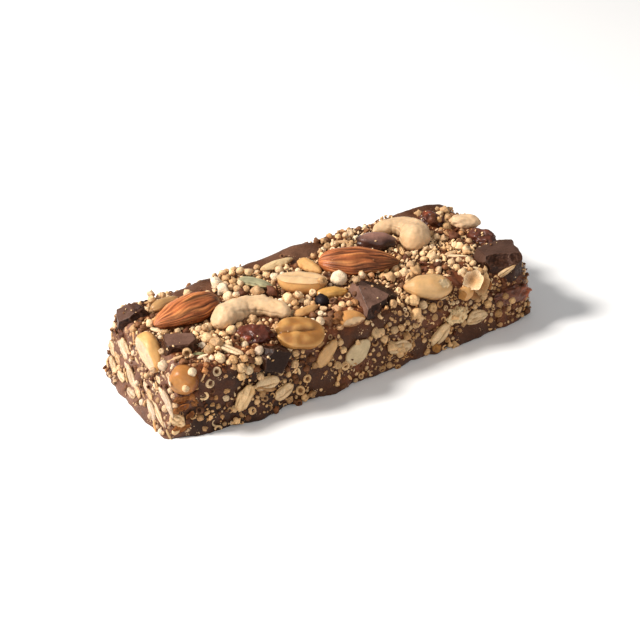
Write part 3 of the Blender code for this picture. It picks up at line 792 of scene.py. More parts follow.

# Chocolate chunks: node, side, across, along or up, lift, heading, tilt, size, cuts, how light, bloom and
# painted sheen on its smooth faces, the ways these look, and shell-shaped breaks (place, reach and depth
# in millimetres)
CHUNKS = (
    ("chocolate_far_left", "top", -48.7, 12.7, -0.1, -32, (2, 0), (9.2, 4.6, 3.8), SHATTERED, 0.62, 0.25,
     ((-0.9, -0.3, 0.4), (-0.3, -0.2, 1)), (((0.6, -2, 0.6), 1.8, 0.45), ((2.4, 0.4, 1.6), 1.6, 0.4))),
    ("chocolate_near_left", "top", -46.1, -6.8, 0.2, -30, (0, 4), (8.4, 5.8, 4.0), PLATE, 0.85, 0.48,
     ((0, 0, 1),),
     (((-1, -3.4, 0.5), 1.8, 0.6), ((2.4, -2.8, 0.8), 1.6, 0.5), ((-4.4, 0.4, 1.5), 1.4, 0.35))),
    ("chocolate_edge", "front", -27.6, 14.0, -0.4, -14, (0, 0), (7.0, 7.0, 5.0), SQUARE, 0.38, 0.02,
     ((0, 0, 1),), (((-3.2, 3.0, 1.4), 1.9, 0.35), ((1.4, 3.7, 1.6), 1.4, 0.3))),
    ("chocolate_wedge", "top", 6.0, -12.6, 0.6, 7, (0, 8), (12.6, 10.4, 6.4), WEDGE, 0.46, 0.62,
     ((0.04, -0.3, 0.95), (-0.91, 0.21, 0.37)), (((3.4, -5, 0.4), 2.0, 0.5), ((-3, -4.6, 0), 1.8, 0.4))),
    ("chocolate_right", "top", 45.6, -13.6, -0.9, -28, (0, 0), (14.2, 10.4, 7.6), CORNER_BLOCK, 0.7, 0.2,
     ((0, 0, 1), (-0.85, -0.28, 0.45)),
     (((0.4, -4.6, 3.4), 3.8, 0.8), ((5.2, -3.4, 3.2), 2.8, 0.6), ((-3.6, -5.0, 1.2), 1.7, 0.4),
      ((5.4, 2.2, 3.6), 1.6, 0.5))),
    ("chocolate_back", "back", -31.0, 10.4, 0.2, 8, (0, 0), (10.4, 7.0, 4.8), SLANTED, 1.0, 0.2,
     ((0, 0, 1),), (((2, 2, 2), 2.8, 0.45), ((-4, -2, 2), 2.2, 0.4))),
)
# The paler colour of bloom, of the painted sheen on the smooth faces and of the painted highlights on edges
# and lips
BLOOM_AND_SHEEN = (0.26, 0.14, 0.10)


# ---------------------------------------------------------------- mesh pieces


def linked_object(name, data):
    """A new object in the scene."""
    made = bpy.data.objects.new(name, data)
    bpy.context.scene.collection.objects.link(made)
    return made


def new_piece(name, points, faces, colours, material, slot, place=None, replaced=(), smooth=True):
    """A mesh object with a colour at each point, riding on the bar."""
    mesh = bpy.data.meshes.new(name)
    mesh.from_pydata([tuple(point) for point in points], [], [tuple(face) for face in faces])
    layer = mesh.color_attributes.new("tint", "FLOAT_COLOR", "POINT")
    values = np.ones((len(points), 4), dtype=np.float32)
    values[:, :3] = np.clip(np.asarray(colours, dtype=np.float32), 0.0, 1.0)
    layer.data.foreach_set("color", values.ravel())
    mesh.materials.append(material)
    mesh.polygons.foreach_set("use_smooth", [smooth] * len(mesh.polygons))
    mesh.update()
    piece = linked_object(name, mesh)
    if place is not None:
        piece.matrix_world = place
        bpy.context.view_layer.update()
    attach(piece, BODY)
    if replaced:
        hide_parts(*replaced)
    return piece


def taken_apart(bm):
    """The points and faces of a working mesh, which is let go."""
    points = [vert.co.copy() for vert in bm.verts]
    faces = [[vert.index for vert in face.verts] for face in bm.faces]
    bm.free()
    return points, faces


def ball_points(segments, rings):
    """Points and faces of the unit ball with its poles on X."""
    bm = bmesh.new()
    bmesh.ops.create_uvsphere(bm, u_segments=segments, v_segments=rings, radius=1)
    bmesh.ops.rotate(bm, verts=bm.verts, matrix=Matrix.Rotation(math.pi / 2, 3, "Y"))
    points, faces = taken_apart(bm)
    return [point.normalized() for point in points], faces


def fitted(points, size):
    """The points centred and stretched to length, width and thickness."""
    made = np.array([tuple(point) for point in points])
    low = made.min(axis=0)
    high = made.max(axis=0)
    return (made - (low + high) / 2) * (np.array(size) / (high - low))


def mesh_normals(points, faces):
    """A unit normal at each point."""
    mesh = bpy.data.meshes.new("measure")
    mesh.from_pydata([tuple(point) for point in points], [], faces)
    mesh.update()
    normals = np.zeros(len(points) * 3, dtype=np.float32)
    mesh.vertex_normals.foreach_get("vector", normals)
    bpy.data.meshes.remove(mesh)
    return normals.reshape(-1, 3)


def topping_frame(skin, side, across, up, lift, heading, tilt):
    """The frame of a topping, from its row's values in millimetres and degrees."""
    place, outward = skin.on_side(side, across * MM, up * MM)
    return seat(side, place + outward * lift * MM, outward, heading, tilt)


FILM_AND_SHADE_HEIGHT = 1.1  # how far the film and painted contact shade climb up a topping, in millimetres
FILM_AND_SHADE_TINT = (0.46, 0.33, 0.24)
LARGE = 9.9  # a topping longer than this, in millimetres, gets the finer ball
ALMOND_BALL = (150, 64)  # segments and rings
LARGE_BALL = (96, 72)
SMALL_BALL = (60, 44)


def add_topping(skin, row, colour, material):
    """A nut, seed or fruit with its relief and tints."""
    name, kind, slot, side, across, up, lift, heading, tilt, size, form, look = row
    fineness = ALMOND_BALL if kind == "almond" else LARGE_BALL if max(size) > LARGE else SMALL_BALL
    ball, faces = ball_points(*fineness)
    points = fitted([form(d) for d in ball], size)
    normals = mesh_normals(points, faces)
    tints = []
    for i, d in enumerate(ball):
        p = Vector(points[i])
        push, tint = look(d, p)
        points[i] += normals[i] * push
        # Painted contact shade, partly the binder's film: darker and browner low down, where a topping
        # meets the binder
        film_and_shade = (1 if side == "top" else 0.2) - (p.z + lift) / FILM_AND_SHADE_HEIGHT
        film_and_shade += 0.6 * noise_at(p * 0.9)
        film_and_shade += 0.3 * noise_at(p * 2.3)
        tints.append(tinted(colour, blend(tint, tinted(tint, FILM_AND_SHADE_TINT), film_and_shade)))
    place = topping_frame(skin, side, across, up, lift, heading, tilt)
    return new_piece(name + "_piece", points * MM, faces, tints, material, slot, place, (name,))


BEVEL = 0.2  # of a chunk's edges, in millimetres


def chunk_shape(size, cuts):
    """A block broken along planes, in millimetres."""
    bm = bmesh.new()
    bmesh.ops.create_cube(bm, size=1)
    bmesh.ops.scale(bm, verts=bm.verts, vec=size)
    for direction, distance in cuts:
        outward = Vector(direction).normalized()
        geometry = bm.verts[:] + bm.edges[:] + bm.faces[:]
        cut = bmesh.ops.bisect_plane(
            bm, geom=geometry, plane_co=outward * distance, plane_no=outward, clear_outer=True
        )
        edges = [item for item in cut["geom_cut"] if isinstance(item, bmesh.types.BMEdge)]
        bmesh.ops.contextual_create(bm, geom=edges)
    bmesh.ops.recalc_face_normals(bm, faces=bm.faces)
    bmesh.ops.bevel(bm, geom=bm.edges[:], offset=BEVEL, segments=2, affect="EDGES", clamp_overlap=True)
    return bm


CHOCOLATE_CELL = 0.16  # in millimetres


def convexity(points, faces, normals):
    """How far each point stands out from its neighbours: high on sharp edges."""
    rings = np.array(faces)
    sums = np.zeros_like(points)
    counts = np.zeros(len(points))
    for first, second in ((0, 1), (1, 2), (2, 3), (3, 0)):
        for a, b in ((first, second), (second, first)):
            np.add.at(sums, rings[:, a], points[rings[:, b]])
            np.add.at(counts, rings[:, a], 1)
    middles = sums / np.maximum(counts, 1)[:, None]
    return ((points - middles) * normals).sum(axis=1)


def remeshed(bm, cell):
    """Points, faces and normals of a closed shape on an even grid of cells."""
    mesh = bpy.data.meshes.new("raw")
    bm.to_mesh(mesh)
    bm.free()
    thing = linked_object("raw", mesh)
    modifier = thing.modifiers.new("even", "REMESH")
    modifier.mode = "VOXEL"
    modifier.voxel_size = cell
    even = bpy.data.meshes.new_from_object(thing.evaluated_get(bpy.context.evaluated_depsgraph_get()))
    read = []
    for rows, field in ((even.vertices, "co"), (even.vertex_normals, "vector")):
        values = np.zeros(len(rows) * 3, dtype=np.float32)
        rows.foreach_get(field, values)
        read.append(values.reshape(-1, 3).astype(float))
    faces = [list(face.vertices) for face in even.polygons]
    bpy.data.objects.remove(thing, do_unlink=True)
    bpy.data.meshes.remove(mesh)
    bpy.data.meshes.remove(even)
    return read[0], faces, read[1]


# ---------------------------------------------------------------- small things, many to a mesh


class Heap:
    """Collects many small things of one kind in one mesh."""

    def __init__(self):
        self.points = []
        self.faces = []
        self.colours = []
        self.count = 0

    def add(self, template, place, size, colour):
        """A thing at a place, with its size along its three axes in metres."""
        points, faces, shades = template
        turn = np.array(place.to_3x3())
        moved = (points * np.array(size)) @ turn.T + np.array(place.translation)
        self.points.append(moved)
        self.faces += [[self.count + i for i in face] for face in faces]
        self.colours.append(shades * np.array(colour))
        self.count += len(points)

    def piece(self, name, finish, smooth=True):
        """The piece of all that was added, none of it below the plane that the bar rests on."""
        if not self.count:
            return None
        points = np.concatenate(self.points)
        points[:, 2] = np.maximum(points[:, 2], 0.0)
        colours = np.concatenate(self.colours)
        material = finish_material(finish)
        return new_piece(name, points, self.faces, colours, material, "pressed_grain", smooth=smooth)


def glaze_and_shade(z, share, shade):
    """Darkens and browns low parts: glaze and painted contact shade. z runs from -1 below to 1 above."""
    deep = clamp(share - z)
    return (shade * (1 - 0.38 * deep), shade * (1 - 0.58 * deep), shade * (1 - 0.72 * deep))


def template(points, faces, form):
    """The points, faces and shades of a small thing, from a form that moves and shades each point."""
    moved, shades = zip(*map(form, points))
    return np.array(moved), faces, np.array(shades)


def puff_template(seed, depth, width, unevenness):
    """A puffed grain of diameter 1: nearly round, with a dimple of this depth at +Z."""

    def form(point):
        d = point.normalized()
        dimple = bump_at(math.acos(clamp(d.z, -1.0)), width)
        swell = noise_at(d * 1.3, seed, 0, 0)
        small = noise_at(d * 3.0, 0, seed, 0)
        p = d * (1 + unevenness * (swell + 0.5 * small))
        p.z -= depth * dimple
        # Painted shade: darker and browner in the dimple, and low down
        deep = min(1.0, dimple * depth * 1.3)
        stain = max(0.0, small - 0.12) * 2.2
        shade = (1 + 0.2 * swell - 0.5 * stain) * (1 - 0.5 * deep)
        return tuple(p / 2), glaze_and_shade(d.z, max(deep + d.z * deep, 0.3 * stain - 0.05), shade)

    bm = bmesh.new()
    bmesh.ops.create_uvsphere(bm, u_segments=14, v_segments=9, radius=1)
    return template(*taken_apart(bm), form)


def curl_template(seed, sweep):
    """An open curl, like the germ that springs from a puffed grain, of diameter 1."""
    turns = 12
    sides = 7

    def form(step):
        share = step[0] / turns
        around = 2 * math.pi * step[1] / sides
        angle = math.radians(sweep) * (share - 0.5)
        thick = 0.15 * (1 - 0.7 * abs(2 * share - 1) ** 3)
        reach = 0.36 + 0.04 * noise_at((share * 3, seed, 0)) + thick * math.cos(around)
        rise = thick * 1.1 * math.sin(around) + 0.10 * noise_at((share * 2, seed, 5))
        # Painted shade on the inner side of the curl
        shade = 1 - 0.35 * max(0.0, -math.cos(around))
        return (reach * math.cos(angle), reach * math.sin(angle), rise), (shade, shade * 0.96, shade * 0.9)

    faces = []
    for i in range(turns):
        for j in range(sides):
            k = (j + 1) % sides
            faces.append([i * sides + j, i * sides + k, (i + 1) * sides + k, (i + 1) * sides + j])
    faces.append(list(range(sides))[::-1])
    faces.append([turns * sides + j for j in range(sides)])
    return template([(i, j) for i in range(turns + 1) for j in range(sides)], faces, form)


def lump_template(seed, amount, level=2):
    """A broken popped grain or crumb of diameter 1."""

    def form(point):
        d = point.normalized()
        swell = noise_at(d * 1.5, seed, 0, 0)
        small = noise_at(d * 3.4, 0, seed, 0)
        # Lighter where it swells out, as painted light; darker low down, as painted contact shade and glaze
        shade = 1 + 0.45 * swell + 0.3 * small
        return tuple(d * (1 + amount * (swell + 0.5 * small)) / 2), glaze_and_shade(d.z, 0.1 - swell, shade)

    bm = bmesh.new()
    bmesh.ops.create_icosphere(bm, subdivisions=level, radius=1)
    return template(*taken_apart(bm), form)


def flake_template(seed, lobes, bend, fineness=(32, 16)):
    """A rolled oat flake 1 long, 1 wide and 1 thick before it is sized: creased into lobes, ragged."""
    draw = random.Random(seed)
    shift = draw.uniform(-0.25, 0.25)
    skew = draw.uniform(-0.25, 0.25)

    def form(d):
        around = Vector((d.x, d.y, 0)).normalized() if abs(d.z) < 0.999 else Vector((0, 0, 0))
        ragged = 1 + 0.18 * noise_at(around * 1.7, 0, 0, seed)
        ragged += 0.08 * noise_at(around * 4.5, 0, 0, seed)
        x = d.x * ragged
        y = d.y * ragged * (1 - skew * d.x)
        course = (y - shift + 0.16 * noise_at((x * 2.0, seed, 1))) * lobes * math.pi / 2
        lobe = math.floor(course / math.pi)
        hill = abs(math.sin(course))
        valley = max(0.0, 1 - hill * 2.4) * (1 - d.x**4)
        x *= 1 + 0.16 * noise_at((lobe * 1.7, seed, 4))
        swell = noise_at((x * 1.6, lobe * 2.3, seed))
        small = noise_at((x * 4, y * 5, seed))
        z = d.z * (1 - 0.25 * abs(d.y))
        if d.z > 0:
            z *= 0.62 + 0.5 * hill**0.6 + 0.5 * swell
            z += 0.08 * small - 0.35 * valley * d.z
        z += bend * (d.x**2 - 0.3)
        # Painted shade in the valleys between the lobes, lighter where it swells; darker and browner at the
        # rim
        rim = bump_at(d.z, 0.3)
        shade = (1 + 0.2 * swell + 0.16 * small) * (1 - 0.62 * valley) * (1 - 0.4 * rim)
        warm = min(1.0, 0.6 * rim + 0.8 * valley + max(0.0, -swell))
        return (x / 2, y / 2, z / 2), (shade, shade * (1 - 0.22 * warm), shade * (1 - 0.5 * warm))

    return template(*ball_points(*fineness), form)


def petal_template(seed):
    """A thin curled husk of an oat grain, cream outside and brown in its hollow, 1 in each direction."""

    def form(d):
        ragged = 1 + 0.3 * noise_at((d.x * 2, d.y * 2, seed))
        cup = 0.9 * d.y**2 + 0.5 * d.x**2
        z = 0.12 * d.z + cup - 0.45 + 0.10 * noise_at((d.x * 2.6, d.y * 2.6, seed + 3))
        hollow = max(0.0, d.z) ** 2
        vein = 0.2 * noise_at((d.x * 1.5, d.y * 9, seed))
        shade = 1 + vein - 0.25 * hollow
        place = (d.x * ragged / 2, d.y * ragged * (1 - 0.25 * d.x) / 2, z / 2)
        return place, (shade * (1 - 0.2 * hollow), shade * (1 - 0.42 * hollow), shade * (1 - 0.62 * hollow))

    return template(*ball_points(20, 14), form)


def sliver_template(seed):
    """A thin broken sliver 1 long, 1 wide and 1 thick before it is sized."""

    def form(d):
        y = d.y * (1 - 0.25 * d.x) + 0.22 * noise_at((d.x * 2.6, d.y, seed))
        z = d.z * (1 + 0.3 * noise_at((d.x * 2, seed, 2)))
        shade = 1 + 0.25 * noise_at((d.x * 2.2, d.y * 2, seed + 4))
        rim = bump_at(d.z, 0.4)
        return (d.x / 2, y / 2, z / 2), (shade, shade * (1 - 0.12 * rim), shade * (1 - 0.25 * rim))

    return template(*ball_points(7, 8), form)


def chip_template(seed):
    """A broken nut chip of diameter 1 with flat faces."""

    def form(point):
        shade = 1 + 0.25 * noise_at(point * 2.5, seed, 0, 0)
        return tuple(point), (shade, shade * 0.97, shade * 0.93)

    draw = random.Random(seed)
    bm = bmesh.new()
    for _ in range(11):
        direction = Vector((draw.gauss(0, 1), draw.gauss(0, 1), draw.gauss(0, 1))).normalized()
        bm.verts.new(direction * draw.uniform(0.38, 0.5))
    made = bmesh.ops.convex_hull(bm, input=bm.verts[:])
    inside = [item for item in made["geom_interior"] if isinstance(item, bmesh.types.BMVert)]
    bmesh.ops.delete(bm, geom=inside, context="VERTS")
    bmesh.ops.bevel(bm, geom=bm.edges[:], offset=0.045, segments=1, affect="EDGES", clamp_overlap=True)
    bmesh.ops.triangulate(bm, faces=bm.faces)
    bm.verts.index_update()
    return template(*taken_apart(bm), form)


class Taken:
    """Remembers where grains lie, so that the next one finds free room."""

    CELL = 3 * MM

    def __init__(self):
        self.cells = {}

    def key(self, place):
        """The cell that a place lies in."""
        return tuple(int(math.floor(value / self.CELL)) for value in place)

    def near(self, place):
        """The grains of the cells around a place, with their radii."""
        i, j, k = self.key(place)
        for a in (i - 1, i, i + 1):
            for b in (j - 1, j, j + 1):
                for c in (k - 1, k, k + 1):
                    yield from self.cells.get((a, b, c), ())

    def free(self, place, radius, share):
        """Whether a grain here keeps away from all others by a share of the sum of their radii."""
        return all((place - other).length >= (radius + reach) * share for other, reach in self.near(place))

    def support(self, place, radius):
        """How many grains it would rest on."""
        return sum((place - other).length < (radius + reach) * 1.25 for other, reach in self.near(place))

    def add(self, place, radius):
        """Takes the room of a grain."""
        self.cells.setdefault(self.key(place), []).append((place, radius))


def spun_frame(place, outward, draw, tilt):
    """A frame with z near the outward direction, turned at random about it."""
    turn = outward.to_track_quat("Z", "Y").to_matrix()
    lean = Euler((draw.gauss(0, tilt), draw.gauss(0, tilt), 0)).to_matrix()
    spin = Matrix.Rotation(draw.uniform(0, 2 * math.pi), 3, "Z")
    made = (turn @ lean @ spin).to_4x4()
    made.translation = place
    return made


def shade_of(draw, palette):
    """A colour from (weight, colour) rows, slightly lighter or darker."""
    pick = draw.uniform(0, sum(weight for weight, _ in palette))
    for weight, colour in palette:
        pick -= weight
        if pick <= 0:
            break
    gain = draw.uniform(0.82, 1.12)
    warm = draw.uniform(-0.04, 0.04)
    return (colour[0] * gain * (1 + warm), colour[1] * gain, colour[2] * gain * (1 - 2 * warm))


# ---------------------------------------------------------------- materials


def set_inputs(tree, node, inputs):
    """Links each named input where a socket is given, and sets it where a value is."""
    for name, value in inputs.items():
        if isinstance(value, bpy.types.NodeSocket):
            tree.links.new(value, node.inputs[name])
        else:
            node.inputs[name].default_value = value


def add_node(tree, kind, inputs=None, **settings):
    """A node with its settings and inputs."""
    node = tree.nodes.new(kind)
    for name, value in settings.items():
        setattr(node, name, value)
    set_inputs(tree, node, inputs or {})
    return node


def worked_out(tree, operation, *values):
    """The result of a sum in a node tree, from sockets or numbers."""
    return add_node(tree, "ShaderNodeMath", dict(enumerate(values)), operation=operation).outputs[0]


def effect_group(name, given, result, build):
    """A shader node group, made once. Its inputs and their defaults are given, and build gives its output.

    build takes the group, its inputs by name, and the place on the piece.
    """
    group = bpy.data.node_groups.get(name)
    if group:
        return group
    group = bpy.data.node_groups.new(name, "ShaderNodeTree")
    for label, value in given.items():
        kind = "NodeSocketColor" if label == "Color" else "NodeSocketFloat"
        group.interface.new_socket(name=label, in_out="INPUT", socket_type=kind).default_value = value
    kind = "NodeSocketColor" if result == "Color" else "NodeSocketFloat"
    group.interface.new_socket(name=result, in_out="OUTPUT", socket_type=kind)
    inputs = add_node(group, "NodeGroupInput").outputs
    place = add_node(group, "ShaderNodeTexCoord").outputs["Object"]
    add_node(group, "NodeGroupOutput", {result: build(group, inputs, place)})
    return group


def mottle_group():
    """Lightens and darkens a colour in soft patches and fine grain."""

    def build(group, given, place):
        patch = {"Vector": place, "Scale": given["Patch Scale"], "Detail": 3}
        grain = {"Vector": place, "Scale": given["Grain Scale"], "Detail": 2}
        parts = [add_node(group, "ShaderNodeTexNoise", inputs).outputs["Fac"] for inputs in (patch, grain)]
        centred = worked_out(group, "SUBTRACT", worked_out(group, "ADD", *parts), 1.0)
        gain = worked_out(group, "MULTIPLY_ADD", centred, given["Depth"], 1.0)
        inputs = {0: given["Color"], "Scale": gain}
        return add_node(group, "ShaderNodeVectorMath", inputs, operation="SCALE").outputs[0]

    given = {"Color": (0.5, 0.5, 0.5, 1), "Patch Scale": 300, "Grain Scale": 1500, "Depth": 0.2}
    return effect_group("food_mottle", given, "Color", build)


def relief_group():
    """Height of a fine food skin: soft swells and pores."""

    def build(group, given, place):
        inputs = {"Vector": place, "Scale": given["Swell Scale"], "Detail": 5}
        swell = add_node(group, "ShaderNodeTexNoise", inputs).outputs["Fac"]
        inputs = {"Vector": place, "Scale": given["Pore Scale"]}
        pores = add_node(group, "ShaderNodeTexVoronoi", inputs).outputs["Distance"]
        return worked_out(group, "MULTIPLY_ADD", pores, given["Pore Share"], swell)

    given = {"Swell Scale": 700, "Pore Scale": 2500, "Pore Share": 0.5}
    return effect_group("food_relief", given, "Height", build)


def dust_group():
    """Mask of small pale crumbs lying here and there on a skin."""

    def build(group, given, place):
        bend = add_node(group, "ShaderNodeTexNoise", {"Vector": place, "Scale": 1300}).outputs["Color"]
        inputs = {0: bend, 1: [DUST_BEND] * 3, 2: place}
        bent = add_node(group, "ShaderNodeVectorMath", inputs, operation="MULTIPLY_ADD").outputs[0]
        inputs = {"Vector": bent, "Scale": given["Scale"]}
        distance = add_node(group, "ShaderNodeTexVoronoi", inputs).outputs["Distance"]
        inputs = {"Vector": place, "Scale": 330, "Detail": 4}
        dusty = add_node(group, "ShaderNodeTexNoise", inputs).outputs["Fac"]
        inputs = {"Value": dusty, "From Min": 0.5, "From Max": 0.75, "To Max": 0.42}
        size = add_node(group, "ShaderNodeMapRange", inputs).outputs["Result"]
        gap = worked_out(group, "SUBTRACT", distance, worked_out(group, "MULTIPLY", size, given["Cover"]))
        inputs = {"Value": gap, "From Min": 0.03, "From Max": -0.03}
        return add_node(group, "ShaderNodeMapRange", inputs).outputs["Result"]

    return effect_group("crumb_dust", {"Scale": 1500, "Cover": 0.5}, "Mask", build)


def sheen_group():
    """Roughness that changes in patches between two values."""

    def build(group, given, place):
        inputs = {"Vector": place, "Scale": given["Scale"], "Detail": 3}
        patch = add_node(group, "ShaderNodeTexNoise", inputs).outputs["Fac"]
        inputs = {"Value": patch, "From Min": 0.35, "From Max": 0.65}
        inputs |= {"To Min": given["Low"], "To Max": given["High"]}
        return add_node(group, "ShaderNodeMapRange", inputs).outputs["Result"]

    return effect_group("patchy_roughness", {"Scale": 300, "Low": 0.3, "High": 0.6}, "Roughness", build)


# Finish: mottle (patch scale, grain scale, depth), roughness (scale, low, high), relief (swell scale,
# pore scale, pore share, height in mm), dust (scale, cover), coat, specular, subsurface
FINISHES = {
    "binder": ((260, 1600, 0.9), (240, 0.28, 0.55), (900, 2600, 0.4, 0.10), (1500, 1.0), 0.0, 0.2, 0.0),
    "puffed_grain": ((620, 2600, 0.85), (500, 0.42, 0.7), (1300, 3600, 0.4, 0.11), None, 0.0, 0.2, 0.06),
    "oat": ((420, 2400, 0.7), (400, 0.45, 0.75), (1300, 3600, 0.4, 0.10), None, 0.0, 0.18, 0.06),
    "almond_skin": ((240, 1900, 0.5), (300, 0.30, 0.5), (1400, 3800, 0.3, 0.05), None, 0.0, 0.25, 0.0),
    "cashew": ((160, 1400, 0.16), (200, 0.38, 0.55), (700, 3000, 0.25, 0.04), None, 0.0, 0.2, 0.1),
    "peanut": ((180, 1500, 0.25), (240, 0.30, 0.45), (800, 3200, 0.2, 0.03), None, 0.0, 0.3, 0.1),
    "pale_nut": ((260, 2200, 0.32), (300, 0.5, 0.7), (1200, 3600, 0.3, 0.05), None, 0.0, 0.15, 0.08),
    "green_seed": ((260, 1800, 0.35), (260, 0.38, 0.55), (900, 3000, 0.3, 0.03), None, 0.0, 0.2, 0.0),
    "fruit": ((260, 1500, 0.6), (260, 0.26, 0.46), (900, 2600, 0.4, 0.06), (1500, 0.4), 0.06, 0.35, 0.0),
    "chocolate": ((300, 1300, 0.4), (260, 0.30, 0.52), (800, 2600, 0.4, 0.05), (1400, 0.5), 0.0, 0.13, 0.0),
}
DUST_COLOUR = (0.55, 0.36, 0.2, 1)
DUST_BEND = 1.2 * MM  # how far the crumbs' outlines wander
RELIEF_GAIN = 3  # the bump's distance for a height of 1 in the table
LIGHT_DEPTH = 0.9 * MM  # how far light reaches into the foods that let it in


def effect_node(tree, group, values, linked=None):
    """A node of an effect group, whose last inputs are set to the values in their order."""
    node = add_node(tree, "ShaderNodeGroup", linked, node_tree=group)
    for socket, value in zip(list(node.inputs)[-len(values):], values):
        socket.default_value = value
    return node.outputs[0]


def finish_material(name):
    """A food finish that takes its colour from each mesh's tint, made once."""
    made = bpy.data.materials.get("food_" + name)
    if made:
        return made
    mottle, sheen, (*relief, height), dust, coat, specular, inner = FINISHES[name]
    made = bpy.data.materials.new("food_" + name)
    made.use_nodes = True
    tree = made.node_tree
    tint = add_node(tree, "ShaderNodeVertexColor", layer_name="tint").outputs["Color"]
    colour = effect_node(tree, mottle_group(), mottle, {"Color": tint})
    if dust:
        inputs = {"Factor": effect_node(tree, dust_group(), dust), "A": colour, "B": DUST_COLOUR}
        colour = add_node(tree, "ShaderNodeMix", inputs, data_type="RGBA").outputs["Result"]
    bump = {"Height": effect_node(tree, relief_group(), relief)}
    bump |= {"Strength": 0.6, "Distance": height * MM * RELIEF_GAIN}
    set_inputs(tree, tree.nodes["Principled BSDF"], {
        "Base Color": colour,
        "Roughness": effect_node(tree, sheen_group(), sheen),
        "Normal": add_node(tree, "ShaderNodeBump", bump).outputs["Normal"],
        "Coat Weight": coat,
        "Coat Roughness": 0.25,
        "Subsurface Weight": inner,
        "Subsurface Radius": (1.0, 0.5, 0.25),
        "Subsurface Scale": LIGHT_DEPTH,
        "Specular IOR Level": specular,
    })
    return made


# ---------------------------------------------------------------- operators

BASE_CLEAR = 0.12 * MM  # how high the binder stays over the plane that the pressed grains lie on
FOOT_WAVE = 1.4 * MM  # the front side's lower edge swells and draws back by up to this much
FOOT_REACH = 4.5  # how high that swelling reaches, in millimetres
FRONT_SHADE_START = 14  # how far left of the middle the front side starts to darken, in millimetres


def settings():
    """The block's, grains', toppings' and stage's settings of the scene."""
    scene = bpy.context.scene
    return scene.bar_block, scene.bar_grains, scene.bar_toppings, scene.bar_stage


# Smooth chocolate without grains: column and row in the photographed view, and reach in millimetres
SMOOTH_SEEN = (
    (160, 297, 2.2), (181, 294, 3), (190, 289, 3.5), (202, 284, 4), (211, 285, 3.2), (118, 316, 2),
    (241, 269, 2.5), (253, 264, 3.5), (263, 260, 4), (275, 256, 4.5), (287, 254, 4.5), (299, 250, 4.5),
    (309, 248, 3.2), (402, 216, 3), (409, 214, 3.5), (420, 210, 4), (432, 207, 4), (440, 206, 3),
    (350, 336, 3.2), (362, 333, 3.0), (318, 380, 3.0), (325, 377, 2.4), (314, 400, 3.2), (468, 334, 3.2),
    (480, 332, 3.2), (419, 350, 2.6), (222, 388, 3.0), (233, 384, 2.0), (196, 430, 2.4),
    (145, 410, 2.6), (121, 391, 2.0), (404, 364, 2.2), (340, 392, 2.0), (290, 410, 2.2),
    (127, 307, 2.4), (149, 296, 3.4),
)


# Reddish sticky caramel and date paste between the grains, the same way
STICKY_SEEN = (
    (204, 372, 4.0), (214, 384, 3.6), (188, 402, 3.6), (226, 364, 2.6), (262, 332, 5.0), (176, 405, 2.6),
    (347, 314, 4.6), (352, 300, 3.2), (356, 288, 3.0), (362, 312, 2.6), (520, 296, 5.0), (330, 330, 2.4),
    (436, 219, 3.6), (452, 233, 3.4), (466, 228, 3.0), (411, 274, 2.6), (458, 280, 3.0), (152, 316, 2.4),
    (128, 336, 2.4), (370, 280, 2.6), (300, 348, 2.0), (322, 342, 3.0), (247, 348, 3.0), (504, 276, 2.4),
)


def seen_places(sight, rows):
    """The places on the bar, with their reach, of points of the photographed view."""
    found = []
    for column, row, reach in rows:
        place, _ = sight.at(column, row)
        if place is not None:
            found.append((place, reach * MM))
    return found


def smoothness(place, outward, patches):
    """1 in the middle of a smooth patch and 0 among the grains."""
    best = 0.0
    for middle, reach in patches:
        best = max(best, 1.35 - (place - middle).length / reach)
    if outward.z < 0.6:
        clumps = noise_at(place / (6 * MM), 5, 1, 2)
        clumps += 0.4 * noise_at(place / (2.4 * MM), 1, 8, 2)
        best = max(best, (clumps - (0.26 if outward.x < -0.6 else 0.3)) * 3)
    return clamp(best)


def is_bare(smooth, draw):
    """Whether a grain is left out here: never in a smooth patch, less often near its rim."""
    return smooth > draw.uniform(0.2, 0.5)


# The colour of the painted sheen on smooth binder that faces up
PAINTED_SHEEN = (0.19, 0.093, 0.055)
STICKY_HEIGHT = 0.36 * MM  # how far the sticky patches stand out


